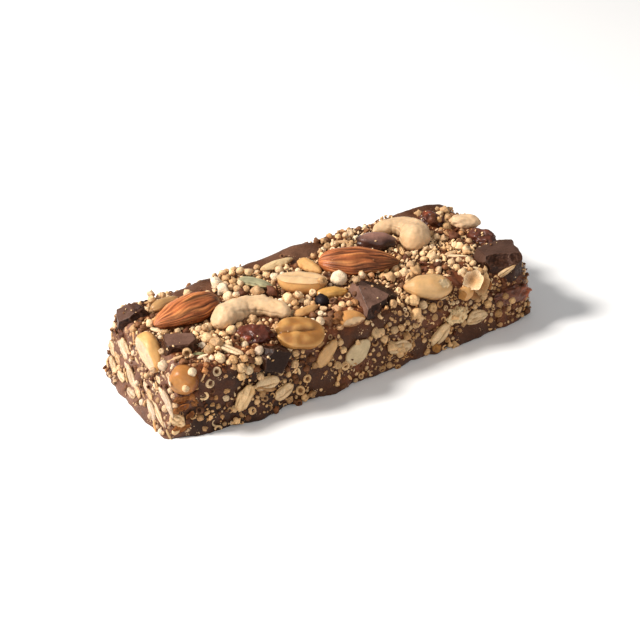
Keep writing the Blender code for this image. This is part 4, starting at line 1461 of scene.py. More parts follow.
def binder_skin(block, place, outward, patches, sticky_patches):
    """A point of the binder's skin and its colour."""
    smooth = smoothness(place, outward, patches)
    rough = 1 - 0.9 * smooth
    p = place / MM
    rise = noise_at(p * 0.42) + 0.55 * noise_at(p * 1.0) + 0.22 * noise_at(p * 2.3)
    full = block.sunk * smooth * (1 - 0.5 * max(0.0, outward.z))
    wave = noise_at((p.x * 0.11, 3, 0)) + 0.5 * noise_at((p.x * 0.3, 7, 0))
    foot = max(0.0, 1 - p.z / FOOT_REACH) * max(0.0, -outward.y) * FOOT_WAVE * wave
    left = clamp((-outward.x - 0.35) * 3) * (0.75 + 0.5 * noise_at(p * 0.15))
    sticky = clamp((noise_at(p * 0.16, 7, 0, 0) - 0.12) * 4) * rough * 0.8
    for middle, reach in sticky_patches:
        sticky = max(sticky, min(1.0, 1.5 - (place - middle).length / reach + 0.5 * rise))
    raised = max(full, sticky * STICKY_HEIGHT)
    moved = place + outward * (rise * rough * block.roughness_height + raised + foot)
    moved.z = max(moved.z, BASE_CLEAR)
    colour = blend(tuple(block.dark_binder), tuple(block.caramel_binder), sticky)
    colour = blend(colour, tuple(block.milk_binder), left)
    # Painted sheen: the smooth patches turn paler where they face up
    rim = smooth * max(0.0, outward.z) * clamp(0.6 + 1.2 * noise_at(p * 0.2))
    colour = blend(colour, PAINTED_SHEEN, 0.6 * rim)
    # Painted shade: the binder is darker where its skin sinks, and the front side darker towards its left
    # end
    gain = 1 + 0.25 * rise * rough
    near_left = clamp((-p.x - FRONT_SHADE_START) / FRONT_SHADE_START)
    gain *= 1 - 0.52 * max(0.0, -outward.y) * near_left * (1 - left)
    return moved, scaled(colour, gain)


class BAR_OT_block(Operator):
    """Builds the pressed block with its uneven skin"""

    bl_idname = "protein_bar.block"
    bl_label = "Pressed block"

    def execute(self, context):
        block, _, _, stage = settings()
        skin = BarSkin(block, block.sunk)
        sight = Sight(skin, stage.lens)
        patches = seen_places(sight, SMOOTH_SEEN)
        sticky_patches = seen_places(sight, STICKY_SEEN)
        places, outwards, faces = skin.grid([round(2 * half / block.cell) for half in skin.half])
        made = [
            binder_skin(block, place, outward, patches, sticky_patches)
            for place, outward in zip(places, outwards)
        ]
        points, colours = zip(*made)
        binder = finish_material("binder")
        new_piece("bar_block", points, faces, colours, binder, "pressed_grain", replaced=(CORE,))
        return {"FINISHED"}


def add_toppings(kinds):
    """The toppings whose colour is one of these."""
    block, _, toppings, _ = settings()
    skin = BarSkin(block)
    for row in TOPPINGS:
        kind = row[1]
        if kind in kinds:
            material = finish_material("almond_skin" if kind == "almond" else kind)
            add_topping(skin, row, tuple(getattr(toppings, kind)), material)


class BAR_OT_almonds(Operator):
    """Builds the almonds with their ridged skins"""

    bl_idname = "protein_bar.almonds"
    bl_label = "Almonds"

    def execute(self, context):
        add_toppings(("almond",))
        return {"FINISHED"}


class BAR_OT_cashews(Operator):
    """Builds the cashews"""

    bl_idname = "protein_bar.cashews"
    bl_label = "Cashews"

    def execute(self, context):
        add_toppings(("cashew",))
        return {"FINISHED"}


class BAR_OT_peanuts(Operator):
    """Builds the peanuts and hazelnuts"""

    bl_idname = "protein_bar.peanuts"
    bl_label = "Peanuts and hazelnuts"

    def execute(self, context):
        add_toppings(("peanut",))
        return {"FINISHED"}


class BAR_OT_cut_nuts(Operator):
    """Builds the cut nuts and seeds"""

    bl_idname = "protein_bar.cut_nuts"
    bl_label = "Cut nuts and seeds"

    def execute(self, context):
        add_toppings(("pale_nut", "green_seed"))
        return {"FINISHED"}


class BAR_OT_fruit(Operator):
    """Builds the dates and raisins"""

    bl_idname = "protein_bar.fruit"
    bl_label = "Dried fruit"

    def execute(self, context):
        add_toppings(("fruit",))
        return {"FINISHED"}


LIP_HIGHLIGHT_WIDTH = 0.16  # the painted highlight along the lip of a shell-shaped break, in millimetres


def shell_hollows(points, normals, breaks):
    """Middle and radius of the ball that leaves each shell-shaped break."""
    for middle, reach, depth in breaks:
        nearest = np.argmin(((points - np.array(middle)) ** 2).sum(axis=1))
        radius = (reach**2 + depth**2) / (2 * depth)
        yield Vector(points[nearest] + normals[nearest] * (radius - depth)), radius


def broken_chocolate(points, faces, normals, number, chunk):
    """Breaks a chunk's faces by moving its points, and gives their colours with painted highlights."""
    dark, light, bloom_and_sheen, ways, breaks = chunk
    edges = convexity(points, faces, normals) / CHOCOLATE_CELL
    ways = [np.array(way) / np.linalg.norm(way) for way in ways]
    hollows = list(shell_hollows(points, normals, breaks))
    tints = []
    for i, point in enumerate(points):
        p = Vector(point)
        facing = max(normals[i].dot(way) for way in ways)
        moulded = clamp((facing - 0.9) * 14)
        edge = clamp((edges[i] - 0.05) * 6)
        swell = noise_at(p * 0.45, number, 0, 0)
        shell = 1 - abs(noise_at(p * 0.6, 0, number, 0)) * 3
        small = noise_at(p * 1.9, 0, 0, number)
        grit = noise_at(p * 3.6, 0, number, number)
        lip_highlight = 0.0
        for centre, radius in hollows:
            gap = (p - centre).length - radius * (1 + 0.05 * swell + 0.03 * small)
            if gap < 0:
                points[i] = centre + (p - centre).normalized() * ((p - centre).length - gap)
                moulded *= 0.15
            lip_highlight = max(lip_highlight, bump_at(gap, LIP_HIGHLIGHT_WIDTH))
        push = (1 - 0.9 * moulded) * (0.12 * swell + 0.07 * shell + 0.06 * small + 0.04 * grit)
        push -= edge * 0.2 * max(0.0, small)
        points[i] += normals[i] * push
        # A grainy broken texture, lighter where it stands out: partly its own colour, partly painted light
        gain = 1 + (0.5 * small + 0.45 * grit + 0.3 * shell) * (1 - moulded)
        base = [value * max(0.35, gain) * light for value in dark]
        # Bloom with painted sheen on the smooth faces, and painted highlights on sharp edges and along the
        # lips of the breaks
        pale = bloom_and_sheen * moulded * (1 + 0.5 * swell + 0.3 * grit)
        pale = pale + 0.16 * edge * (1 + small) + 0.16 * lip_highlight
        tints.append(blend(base, BLOOM_AND_SHEEN, pale))
    return tints


class BAR_OT_chocolate(Operator):
    """Builds the chocolate chunks with their broken faces"""

    bl_idname = "protein_bar.chocolate"
    bl_label = "Chocolate chunks"

    def execute(self, context):
        block, _, toppings, _ = settings()
        skin = BarSkin(block)
        material = finish_material("chocolate")
        for number, row in enumerate(CHUNKS):
            name, side, across, up, lift, heading, tilt, size, cuts, *looks = row
            points, faces, normals = remeshed(chunk_shape(size, cuts), CHOCOLATE_CELL)
            chunk = (tuple(toppings.chocolate), *looks)
            tints = broken_chocolate(points, faces, normals, number, chunk)
            place = topping_frame(skin, side, across, up, lift, heading, tilt)
            new_piece(name + "_piece", points * MM, faces, tints, material, "chocolate", place, (name,))
        return {"FINISHED"}


LOWEST_GRAIN = 1.1 * MM  # no grain is scattered on the sides' skin below this height


class GrainBed:
    """What the grain operators share: the skin, the toppings to keep clear of and the taken room."""

    made = None

    def __init__(self):
        block, grain, _, stage = settings()
        self.grain = grain
        self.skin = BarSkin(block, block.sunk)
        self.sight = Sight(self.skin, stage.lens)
        self.patches = seen_places(self.sight, SMOOTH_SEEN)
        self.sticky = seen_places(self.sight, STICKY_SEEN)
        self.toppings = BVHTree.FromPolygons(*topping_solids())
        self.taken = Taken()
        self.kinds = grain_kinds()

    @classmethod
    def shared(cls):
        """The one bed, made when it is first asked for."""
        if cls.made is None:
            cls.made = cls()
        return cls.made

    def hold(self, made, length, width):
        """Takes the room under a long thing."""
        heading = Vector(made.col[0][:3]).normalized()
        steps = max(1, round(1.4 * length / width))
        for step in range(steps):
            offset = ((step + 0.5) / steps - 0.5) * (length - width * 0.5)
            self.taken.add(made.translation + heading * offset, width * 0.42)

    def clear(self, place, radius, share=0.6):
        """Whether a grain keeps out of the toppings, though it may touch them."""
        nearest, normal, _, distance = self.toppings.find_nearest(place)
        return (place - nearest).dot(normal) >= 0 and distance > radius * share

    def glazed_and_shaded(self, colour, place, outward):
        """A grain's colour with painted shade on the sides, and darker and redder in the sticky patches."""
        colour = painted_side_shade(colour, outward)
        share = max(1.4 - (place - middle).length / reach for middle, reach in self.sticky)
        return blend(colour, tinted(colour, STICKY_TINT), 0.85 * share)

    def spots(self, side, tries, draw, spread=0.97):
        """Random places over a side with their outward directions, and how smooth the skin is there."""
        for _ in range(tries):
            q = cube_point(side, draw.uniform(-spread, spread), draw.uniform(-spread, spread))
            place, outward = self.skin.at(q)
            if place.z >= LOWEST_GRAIN or side == "base":
                yield place, outward, smoothness(place, outward, self.patches)


# What the photograph shows one by one. Each region has the corner of its 8 times enlarged crop, then
# round grains by kind and colour with their column, row and diameter in that crop
ROUND_SHOWN = (
    ((96, 270), {
        ("chip", "cream"): ((725, 185, 85), (370, 790, 44)),
        ("dimpled", "tan"): ((450, 335, 50), (1150, 450, 56)),
        ("plain", "brown"): ((455, 372, 50), (1170, 190, 50), (1195, 400, 46)),
        ("lump", "white"): ((960, 110, 105), (1012, 160, 100)),
        ("plain", "white"): ((1060, 212, 88), (1190, 600, 60), (545, 765, 88), (1222, 800, 64),
            (1165, 850, 60), (770, 815, 66), (718, 948, 56), (120, 610, 50), (330, 905, 50),
            (370, 1060, 52)),
        ("lump", "tan"): ((1040, 70, 70), (300, 470, 60), (975, 500, 46), (1012, 570, 46),
            (1105, 780, 50), (1045, 960, 50), (870, 1265, 50), (120, 560, 55)),
        ("plain", "tan"): ((1100, 92, 62), (1130, 150, 66), (1080, 140, 56), (1200, 150, 62),
            (925, 505, 50), (1170, 560, 40), (955, 580, 90), (900, 637, 76), (1095, 715, 66),
            (1250, 770, 42), (835, 1180, 56), (1010, 1170, 34), (500, 1040, 46)),
        ("lump", "cream"): ((430, 430, 75), (1060, 590, 60), (160, 800, 56), (600, 960, 52)),
        ("lump", "brown"): ((380, 462, 60), (340, 440, 50), (700, 735, 60)),
        ("plain", "cream"): ((655, 490, 52), (765, 490, 46), (820, 475, 60), (885, 460, 68),
            (1005, 512, 46), (1085, 482, 76), (1260, 400, 60), (1130, 540, 40), (890, 545, 86),
            (990, 705, 76), (1060, 737, 46), (1165, 785, 76), (555, 1110, 58), (635, 1085, 50),
            (1110, 1110, 56), (190, 780, 50), (405, 845, 46), (440, 1170, 54), (620, 1010, 46)),
        ("dimpled", "cream"): ((525, 655, 56), (245, 700, 46), (455, 800, 52)),
        ("ring", "cream"): ((727, 660, 72),),
        ("dimpled", "brown"): ((1245, 722, 46),),
        ("ring", "white"): ((965, 812, 74), (908, 905, 76)),
        ("curl", "white"): ((860, 1005, 80), (955, 1225, 62), (978, 1268, 62)),
        ("ring", "brown"): ((925, 965, 52), (830, 1120, 62)),
        ("curl", "cream"): ((775, 1165, 62),),
        ("ring", "tan"): ((1072, 1118, 50),),
        ("chip", "tan"): ((930, 1075, 50),),
        ("lump", "red"): ((130, 500, 55), (800, 985, 50), (735, 1205, 60), (215, 520, 66)),
        ("chip", "choc"): ((390, 285, 110), (345, 305, 96), (420, 262, 80), (310, 335, 66)),
        ("lump", "amber"): ((765, 1010, 66), (640, 1120, 60), (790, 1060, 56)),
    }),
    ((200, 235), {
        ("plain", "tan"): ((455, 260, 52), (365, 300, 62), (410, 290, 46), (760, 545, 60), (390, 692, 46),
            (135, 867, 96), (80, 912, 76), (270, 1000, 62), (920, 1042, 56)),
        ("plain", "cream"): ((530, 322, 62), (635, 282, 72), (785, 287, 50), (225, 492, 82),
            (815, 522, 50), (870, 510, 52), (1140, 560, 62), (250, 762, 76), (60, 740, 70), (55, 827, 90),
            (360, 872, 56), (165, 987, 76), (235, 1010, 42), (330, 1060, 78), (330, 1132, 62),
            (480, 1130, 62), (1105, 812, 34), (1120, 862, 56), (1145, 917, 58), (1115, 977, 42),
            (765, 945, 58), (820, 930, 38), (1095, 1192, 44), (965, 1237, 34), (675, 1167, 38),
            (455, 1332, 48), (1265, 860, 42)),
        ("plain", "white"): ((600, 337, 78), (1113, 348, 128), (473, 925, 72), (470, 1003, 70),
            (390, 1080, 68)),
        ("ring", "brown"): ((660, 175, 52), (1065, 532, 68), (790, 1342, 62)),
        ("bowl", "brown"): ((1020, 330, 90),),
        ("plain", "brown"): ((770, 247, 50), (665, 455, 42), (1240, 470, 42), (945, 625, 50),
            (355, 700, 42), (400, 1000, 50), (700, 1072, 42), (755, 1132, 42)),
        ("lump", "brown"): ((300, 300, 42), (900, 645, 60), (1050, 645, 64), (1020, 692, 86),
            (455, 1067, 60), (850, 1072, 62), (885, 992, 66), (770, 1162, 50)),
        ("lump", "red"): ((575, 455, 90), (330, 472, 80)),
        ("lump", "tan"): ((460, 450, 92), (430, 675, 74), (200, 800, 50)),
        ("lump", "cream"): ((715, 510, 92), (300, 812, 46)),
        ("plain", "black"): ((975, 522, 108),),
        ("ring", "tan"): ((1180, 490, 62), (520, 1307, 52)),
        ("chip", "cream"): ((990, 590, 78), (1195, 1140, 60), (1110, 1142, 46)),
        ("lump", "amber"): ((1110, 650, 76), (1080, 690, 60)),
        ("dimpled", "tan"): ((315, 725, 62), (495, 1272, 56)),
        ("dimpled", "cream"): ((1100, 1037, 58), (760, 1032, 64), (840, 1300, 62)),
        ("ring", "cream"): ((1160, 1052, 64), (855, 1147, 70), (800, 1242, 78)),
        ("bowl", "cream"): ((1200, 1045, 54),),
        ("curl", "cream"): ((960, 1132, 54), (1050, 1147, 34), (680, 1362, 34)),
        ("chip", "tan"): ((1000, 1100, 52),),
        ("bowl", "tan"): ((550, 1382, 54),),
    }),
    ((320, 195), {
        ("dimpled", "tan"): ((60, 410, 62), (20, 690, 72)),
        ("plain", "tan"): ((130, 392, 50), (250, 380, 44), (520, 600, 58), (600, 590, 72), (730, 642, 62),
            (915, 977, 64), (600, 940, 32), (160, 1165, 42)),
        ("lump", "white"): ((285, 350, 54),),
        ("plain", "white"): ((460, 610, 38), (823, 880, 74)),
        ("plain", "cream"): ((620, 642, 62), (330, 625, 46), (560, 430, 48), (750, 840, 92),
            (555, 1035, 38), (595, 1080, 68), (510, 1150, 68), (400, 1150, 42), (185, 1240, 58),
            (145, 1130, 34), (640, 1272, 64), (375, 1020, 44)),
        ("lump", "cream"): ((680, 620, 84), (705, 842, 58), (765, 940, 92), (800, 985, 64),
            (440, 1110, 82), (490, 1090, 62), (575, 1205, 84), (640, 1225, 80)),
        ("lump", "tan"): ((560, 660, 96), (500, 652, 62), (400, 640, 62), (350, 640, 62), (290, 680, 64),
            (690, 1130, 72)),
        ("lump", "brown"): ((655, 732, 62),),
        ("dimpled", "cream"): ((900, 900, 80),),
        ("chip", "cream"): ((700, 1020, 64),),
        ("curl", "tan"): ((440, 1180, 62), (270, 1360, 52)),
        ("ring", "cream"): ((200, 1365, 74), (140, 1362, 64)),
        ("ring", "tan"): ((620, 1372, 54),),
    }),
    ((400, 195), {
        ("plain", "tan"): ((375, 255, 78), (300, 110, 42), (310, 195, 52), (550, 370, 58), (845, 810, 54),
            (800, 870, 58), (785, 945, 74), (720, 1000, 52), (800, 1032, 52)),
        ("lump", "cream"): ((320, 155, 62), (480, 415, 84), (525, 435, 70), (440, 400, 62),
            (290, 340, 62), (250, 420, 54), (200, 430, 62), (260, 500, 86), (120, 470, 54),
            (500, 622, 72), (550, 520, 62), (660, 800, 76), (435, 1200, 66)),
        ("lump", "tan"): ((360, 122, 82), (380, 180, 62), (150, 150, 62), (350, 350, 62), (90, 560, 72),
            (130, 610, 92), (250, 622, 62)),
        ("lump", "red"): ((260, 200, 96), (430, 340, 92), (45, 500, 54), (300, 560, 62), (210, 600, 62)),
        ("curl", "cream"): ((510, 345, 54), (245, 372, 48), (330, 405, 64), (530, 570, 62),
            (870, 882, 46), (840, 960, 62), (720, 1052, 64)),
        ("plain", "cream"): ((180, 470, 52), (70, 622, 64), (410, 540, 62), (450, 580, 62),
            (470, 522, 54), (582, 545, 54), (700, 872, 68), (720, 832, 44), (598, 892, 46), (897, 842, 58)),
        ("lump", "brown"): ((362, 582, 56),),
        ("chip", "orange"): ((505, 800, 98),),
        ("lump", "amber"): ((705, 725, 66),),
        ("ring", "tan"): ((742, 1078, 52),),
        ("dimpled", "orange"): ((290, 1225, 78),),
        ("chip", "cream"): ((445, 985, 74), (60, 1020, 62)),
        ("lump", "choc"): ((640, 390, 60), (585, 400, 52)),
    }),
)

# The same for long things: column, row, length, width and angle in the picture
LONG_SHOWN = (
    ((96, 270), {
        ("flake", "white"): ((222, 635, 170, 78, -62), (290, 860, 215, 72, -68),
            (497, 1150, 205, 50, -66), (645, 1200, 125, 95, -35), (1085, 640, 195, 72, -22),
            (485, 480, 105, 46, -12)),
        ("oat", "white"): ((135, 630, 130, 66, -75), (205, 850, 96, 60, -60), (550, 1020, 190, 56, -62),
            (505, 880, 66, 50, -60), (285, 985, 92, 60, -50), (400, 930, 80, 48, -68),
            (590, 895, 90, 34, -65), (250, 770, 80, 44, -62)),
        ("oat", "cream"): ((175, 705, 130, 60, -70), (430, 1000, 100, 50, -65), (335, 975, 110, 50, -72),
            (455, 1090, 76, 46, -66)),
        ("sliver", "cream"): ((330, 725, 62, 26, -60), (275, 575, 62, 30, -50), (862, 850, 92, 15, 62)),
        ("sliver", "white"): ((470, 930, 52, 26, -70), (150, 440, 92, 62, -30), (640, 1290, 70, 44, 30),
            (545, 1240, 52, 32, -60), (855, 692, 110, 32, 20)),
        ("oat", "amber"): ((690, 1035, 130, 60, 16), (690, 1262, 150, 60, 15)),
        ("petal", "amber"): ((700, 1085, 90, 60, 20), (750, 1150, 76, 56, 50)),
        ("sliver", "tan"): ((430, 258, 92, 30, 10), (630, 712, 130, 36, 22), (380, 1000, 70, 18, -66)),
        ("flake", "green"): ((818, 675, 92, 42, 5),),
    }),
    ((200, 235), {
        ("sliver", "tan"): ((970, 872, 70, 30, 40), (1000, 1110, 62, 30, 60)),
        ("sliver", "cream"): ((1110, 1140, 72, 26, 75),),
        ("sliver", "white"): ((760, 1080, 62, 16, 50),),
        ("flake", "tan"): ((520, 1222, 150, 66, -10),),
    }),
    ((320, 195), {
        ("sliver", "tan"): ((170, 376, 180, 40, 5),),
        ("flake", "cream"): ((645, 442, 112, 56, -65),),
        ("sliver", "cream"): ((800, 1030, 72, 14, 60),),
    }),
    ((400, 195), {
        ("sliver", "white"): ((470, 490, 205, 36, -4),),
        ("flake", "white"): ((848, 612, 175, 48, 33),),
        ("flake", "cream"): ((400, 470, 92, 52, 20),),
        ("sliver", "red"): ((440, 690, 105, 46, -40),),
        ("petal", "white"): ((572, 690, 165, 135, 62),),
        ("petal", "cream"): ((646, 716, 185, 90, 66),),
        ("petal", "tan"): ((600, 780, 110, 80, 10),),
    }),
)

ENLARGED = 8  # how many times the crops were enlarged
PIXELS_PER_MM = 3.81  # in the picture, near the bar's middle


def shown_rows(table):
    """Each thing of a table: kind, colour, its picture column and row, and its other values."""
    for (left, upper), groups in table:
        for (kind, shade), rows in groups.items():
            for column, row, *others in rows:
                yield kind, shade, left + column / ENLARGED, upper + row / ENLARGED, *others


def real_size(pixels):
    """A length in an enlarged crop as a real length."""
    return pixels / ENLARGED / PIXELS_PER_MM * MM


def seen_frame(bed, column, row, angle, height):
    """A frame on the skin where the camera sees a point, with x along an angle in the picture."""
    place, outward = bed.sight.at(column, row, height)
    if place is None:
        return None, None, 1.0
    ray = (place - CAMERA_PLACE).normalized()
    turn = math.radians(angle)
    aim = CAMERA_RIGHT * math.cos(turn) + CAMERA_UP * math.sin(turn)
    slope = min(-0.3, ray.dot(outward))
    along = aim - ray * (aim.dot(outward) / slope)
    x_axis = along.normalized()
    x_axis = (x_axis - outward * x_axis.dot(outward)).normalized()
    made = Matrix((x_axis, outward.cross(x_axis), outward)).transposed().to_4x4()
    made.translation = place
    return made, outward, along.length


SUNK_SHARD = -0.18  # how deep a chocolate shard lies in what carries it, as a share of its size


# Painted shade of the grains on the long sides and on the ends of the bar
LONG_SIDE_SHADE = (0.83, 0.75, 0.635)
SHORT_SIDE_SHADE = (0.76, 0.74, 0.77)
STICKY_TINT = (0.60, 0.38, 0.25)


def grain_colours(grain):
    """The colours of the small things by name."""
    return {
        "white": (0.86, 0.655, 0.43), "cream": tuple(grain.cream), "tan": tuple(grain.tan),
        "brown": tuple(grain.brown), "red": (0.13, 0.046, 0.022), "amber": (0.31, 0.125, 0.038),
        "orange": (0.52, 0.26, 0.08), "black": (0.012, 0.006, 0.009), "green": (0.30, 0.28, 0.13),
        "choc": (0.05, 0.022, 0.015),
    }


def painted_side_shade(colour, outward):
    """Painted shade on the grains of the sides: they are darker, and warmer on the long ones."""
    for part, tint in ((outward.y, LONG_SIDE_SHADE), (outward.x, SHORT_SIDE_SHADE)):
        colour = blend(colour, tinted(colour, tint), clamp(abs(part) * 1.6 - 0.4))
    return colour


def grain_kinds():
    """Templates of each kind of small thing."""
    return {
        "plain": [puff_template(seed, 0.10, 0.5, 0.22) for seed in range(1, 9)],
        "dimpled": [puff_template(seed, 0.5, 0.42, 0.2) for seed in range(11, 16)],
        "ring": [puff_template(seed, 1.25, 0.46, 0.08) for seed in range(21, 25)],
        "bowl": [puff_template(seed, 1.1, 0.85, 0.18) for seed in range(31, 34)],
        "lump": [lump_template(seed, 0.6) for seed in range(1, 9)],
        "curl": [curl_template(seed, sweep) for seed, sweep in ((1, 250), (2, 290), (3, 210), (4, 270))],
        "chip": [chip_template(seed) for seed in range(1, 7)],
        "flake": [flake_template(seed, 1.6 + 0.35 * seed, 0.3) for seed in range(1, 7)],
        "oat": [flake_template(seed, 1.5 + 0.3 * seed, 0.3, (18, 11)) for seed in range(1, 7)],
        "petal": [petal_template(seed) for seed in range(1, 5)],
        "sliver": [sliver_template(seed) for seed in range(1, 7)],
        "bit": [lump_template(seed, 0.6, 1) for seed in range(11, 17)],
    }


class BAR_OT_shown_grains(Operator):
    """Places the grains, flakes and bits that the photograph shows one by one"""

    bl_idname = "protein_bar.shown_grains"
    bl_label = "Shown grains"

    def execute(self, context):
        bed = GrainBed.shared()
        colours = grain_colours(bed.grain)
        heaps = {kind: Heap() for kind in ("grain", "chip", "flake", "sliver")}
        draw = random.Random(31)
        for kind, shade, column, row, across in shown_rows(ROUND_SHOWN):
            size = real_size(across)
            place, outward = bed.sight.at(column, row)
            if place is None:
                continue
            share = SUNK_SHARD if shade == "choc" else 0.22 if outward.z > 0.6 else 0.08
            place, outward = bed.sight.at(column, row, share * size)
            spun = spun_frame(place, (outward + CAMERA_BACK * 0.6).normalized(), draw, 0.2)
            colour = painted_side_shade(shade_of(draw, ((1, colours[shade]),)), outward)
            heap = heaps["chip" if kind == "chip" else "grain"]
            heap.add(draw.choice(bed.kinds[kind]), spun, (size, size, size * 0.92), colour)
            bed.taken.add(place, size / 2)
        for kind, shade, column, row, length, width, angle in shown_rows(LONG_SHOWN):
            made, outward, stretch = seen_frame(bed, column, row, angle, 0.15 * MM)
            if made is None:
                continue
            long_size = real_size(length) * min(1.6, stretch)
            wide = real_size(width) * 1.1
            thick = clamp(wide * 0.6, 0.7 * MM, 1.4 * MM)
            if kind == "petal":
                thick = wide * 0.8
                made = made @ Euler((draw.uniform(-0.5, 0.5), 0, 0)).to_matrix().to_4x4()
                made.translation += outward * thick * 0.3
            colour = painted_side_shade(shade_of(draw, ((1, colours[shade]),)), outward)
            heap = heaps["sliver" if kind == "sliver" else "flake"]
            heap.add(draw.choice(bed.kinds[kind]), made, (long_size, wide, thick), colour)
            bed.hold(made, long_size, wide)
        for side, across, up, length, width, heading in SHOWN_FLAKES:
            place, outward = bed.skin.on_side(side, across * MM, up * MM)
            made = seat(side, place + outward * 0.25 * MM, outward, heading)
            colour = painted_side_shade(shade_of(draw, ((1, colours["white"]),)), outward)
            size = (length * MM, width * MM, FLAKE_THICKNESS)
            heaps["flake"].add(draw.choice(bed.kinds["flake"]), made, size, colour)
            bed.hold(made, length * MM, width * MM)
        heaps["grain"].piece("shown_puffs", "puffed_grain")
        heaps["chip"].piece("shown_chips", "pale_nut", smooth=False)
        heaps["flake"].piece("shown_flakes", "oat")
        heaps["sliver"].piece("shown_slivers", "pale_nut")
        return {"FINISHED"}


def crumbly(place):
    """Whether the top is crumbly granola here rather than whole puffs."""
    x, y = place.x / MM, place.y / MM
    if place.z < 14 * MM:
        return False
    edge = 3 * noise_at(place / (5 * MM))
    return x > 12 + 0.4 * y + edge and x < 52 or (abs(x - 3) < 5 + edge and abs(y + 8) < 5)


PUFF_SIZES = (1.0, 1.2, 1.5, 1.7, 1.9, 2.2)  # in millimetres


def puff_kind(level, share, radius):
    """The kind of a puff for a share from 0 to 1: more rings on the sides, more lumps on the top."""
    shares = ((0.36, "ring"), (0.6, "dimpled"), (0.7, "bowl"))
    if level:
        shares = ((0.2, "dimpled"), (0.27, "ring"), (0.62, "lump" if radius > 0.8 * MM else "bit"))
    return next((kind for limit, kind in shares if share < limit), "plain")


class BAR_OT_puffs(Operator):
    """Lays the puffed grains over every side"""

    bl_idname = "protein_bar.puffs"
    bl_label = "Puffed grains"

    def execute(self, context):
        bed = GrainBed.shared()
        grain = bed.grain
        colours = grain_colours(grain)
        weights = {"cream": 46, "tan": 30, "brown": 9, "white": 15}
        palette = [(weight, colours[name]) for name, weight in weights.items()]
        # Side, tries, spacing and seed
        rounds = (
            ("top", grain.top_count, 0.92, 41), ("front", grain.side_count * 5 // 4, 0.98, 42),
            ("back", grain.side_count, 1.08, 43), ("left", grain.side_count // 2, 1.12, 44),
            ("right", grain.side_count // 3, 1.08, 45), ("base", grain.side_count // 14, 1.15, 46),
        )
        for side, tries, spacing, seed in rounds:
            heap = Heap()
            draw = random.Random(seed)
            level = side == "top"
            lifts = (-0.05, 0.28) if level else (-0.22, 0.1)
            for layer in range(2 if level else 1):
                for place, outward, smooth in bed.spots(side, tries // (1 + layer * 4), draw):
                    size = draw.choice(PUFF_SIZES) * draw.uniform(0.9, 1.1) * MM
                    size = clamp(size, grain.ball_min, grain.ball_max)
                    if is_bare(smooth, draw) or (crumbly(place) and draw.random() < 0.75):
                        continue
                    radius = size / 2
                    middle = place + outward * (draw.uniform(*lifts) + layer * 0.7) * size
                    if not bed.taken.free(middle, radius, spacing) or not bed.clear(middle, radius):
                        continue
                    if layer and bed.taken.support(middle, radius) < 3:
                        continue
                    kind = puff_kind(level, draw.random(), radius)
                    spun = spun_frame(middle, outward, draw, 0.5)
                    scale = (size, size * draw.uniform(0.85, 1), size * draw.uniform(0.72, 1))
                    colour = bed.glazed_and_shaded(shade_of(draw, palette), place, outward)
                    heap.add(draw.choice(bed.kinds[kind]), spun, scale, colour)
                    bed.taken.add(middle, radius)
            heap.piece("puffed_grains_" + side, "puffed_grain")
        return {"FINISHED"}


# Oat flakes: side, tries and length in millimetres
FLAKE_ROUNDS = (
    ("top", 90, 4.6), ("front", 90, 5.0), ("back", 260, 5.6), ("right", 100, 5.5), ("left", 20, 5.0),
)
OAT_THICKNESS = 1.3 * MM

# Slivers: side, tries and share of the lengths below, which are in millimetres
SLIVER_ROUNDS = (
    ("left", 450, 0.8), ("front", 500, 0.6), ("back", 500, 0.7), ("right", 260, 0.8), ("top", 200, 0.6),
)
SLIVER_LENGTHS = (1.2, 1.8, 2.6, 3.6, 5.0)
SLIVER_THICKNESS = 0.8 * MM


class BAR_OT_flakes(Operator):
    """Lays the oat flakes and nut slivers"""

    bl_idname = "protein_bar.flakes"
    bl_label = "Oat flakes and slivers"

    def execute(self, context):
        bed = GrainBed.shared()
        colours = grain_colours(bed.grain)
        palette = ((4, tuple(bed.grain.oat)), (2, colours["tan"]), (1, colours["brown"]))
        heap = Heap()
        draw = random.Random(61)
        for side, tries, length in FLAKE_ROUNDS:
            for place, outward, smooth in bed.spots(side, tries, draw, 0.9):
                size = length * draw.uniform(0.6, 1.25) * MM
                radius = size * 0.36
                middle = place + outward * 0.2 * MM
                if is_bare(smooth, draw) or not bed.clear(middle, radius, 0.9):
                    continue
                if not bed.taken.free(middle, radius, 0.8):
                    continue
                spun = spun_frame(middle, outward, draw, 0.2)
                wide = size * draw.uniform(0.5, 0.7)
                scale = (size, wide, OAT_THICKNESS)
                heap.add(draw.choice(bed.kinds["oat"]), spun, scale, shade_of(draw, palette))
                bed.hold(spun, size, wide)
        heap.piece("oat_flakes", "oat")

        heap = Heap()
        draw = random.Random(62)
        for side, tries, reach in SLIVER_ROUNDS:
            for place, outward, smooth in bed.spots(side, tries, draw, 0.94):
                size = draw.choice(SLIVER_LENGTHS) * draw.uniform(0.8, 1.15) * reach * MM
                wide = draw.uniform(0.4, 1.0) * MM
                middle = place + outward * 0.08 * MM
                if is_bare(smooth, draw) or not bed.clear(middle, wide, 0.8):
                    continue
                if not bed.taken.free(middle, wide * 0.7, 1.15):
                    continue
                heading = draw.gauss(-60, 9) if side == "left" else draw.uniform(0, 180)
                spun = seat(side, middle, outward, heading, (draw.gauss(0, 6), draw.gauss(0, 20)))
                scale = (size, wide, SLIVER_THICKNESS)
                heap.add(draw.choice(bed.kinds["sliver"]), spun, scale, shade_of(draw, palette))
                bed.hold(spun, size, wide)
        heap.piece("nut_slivers", "pale_nut")
        return {"FINISHED"}


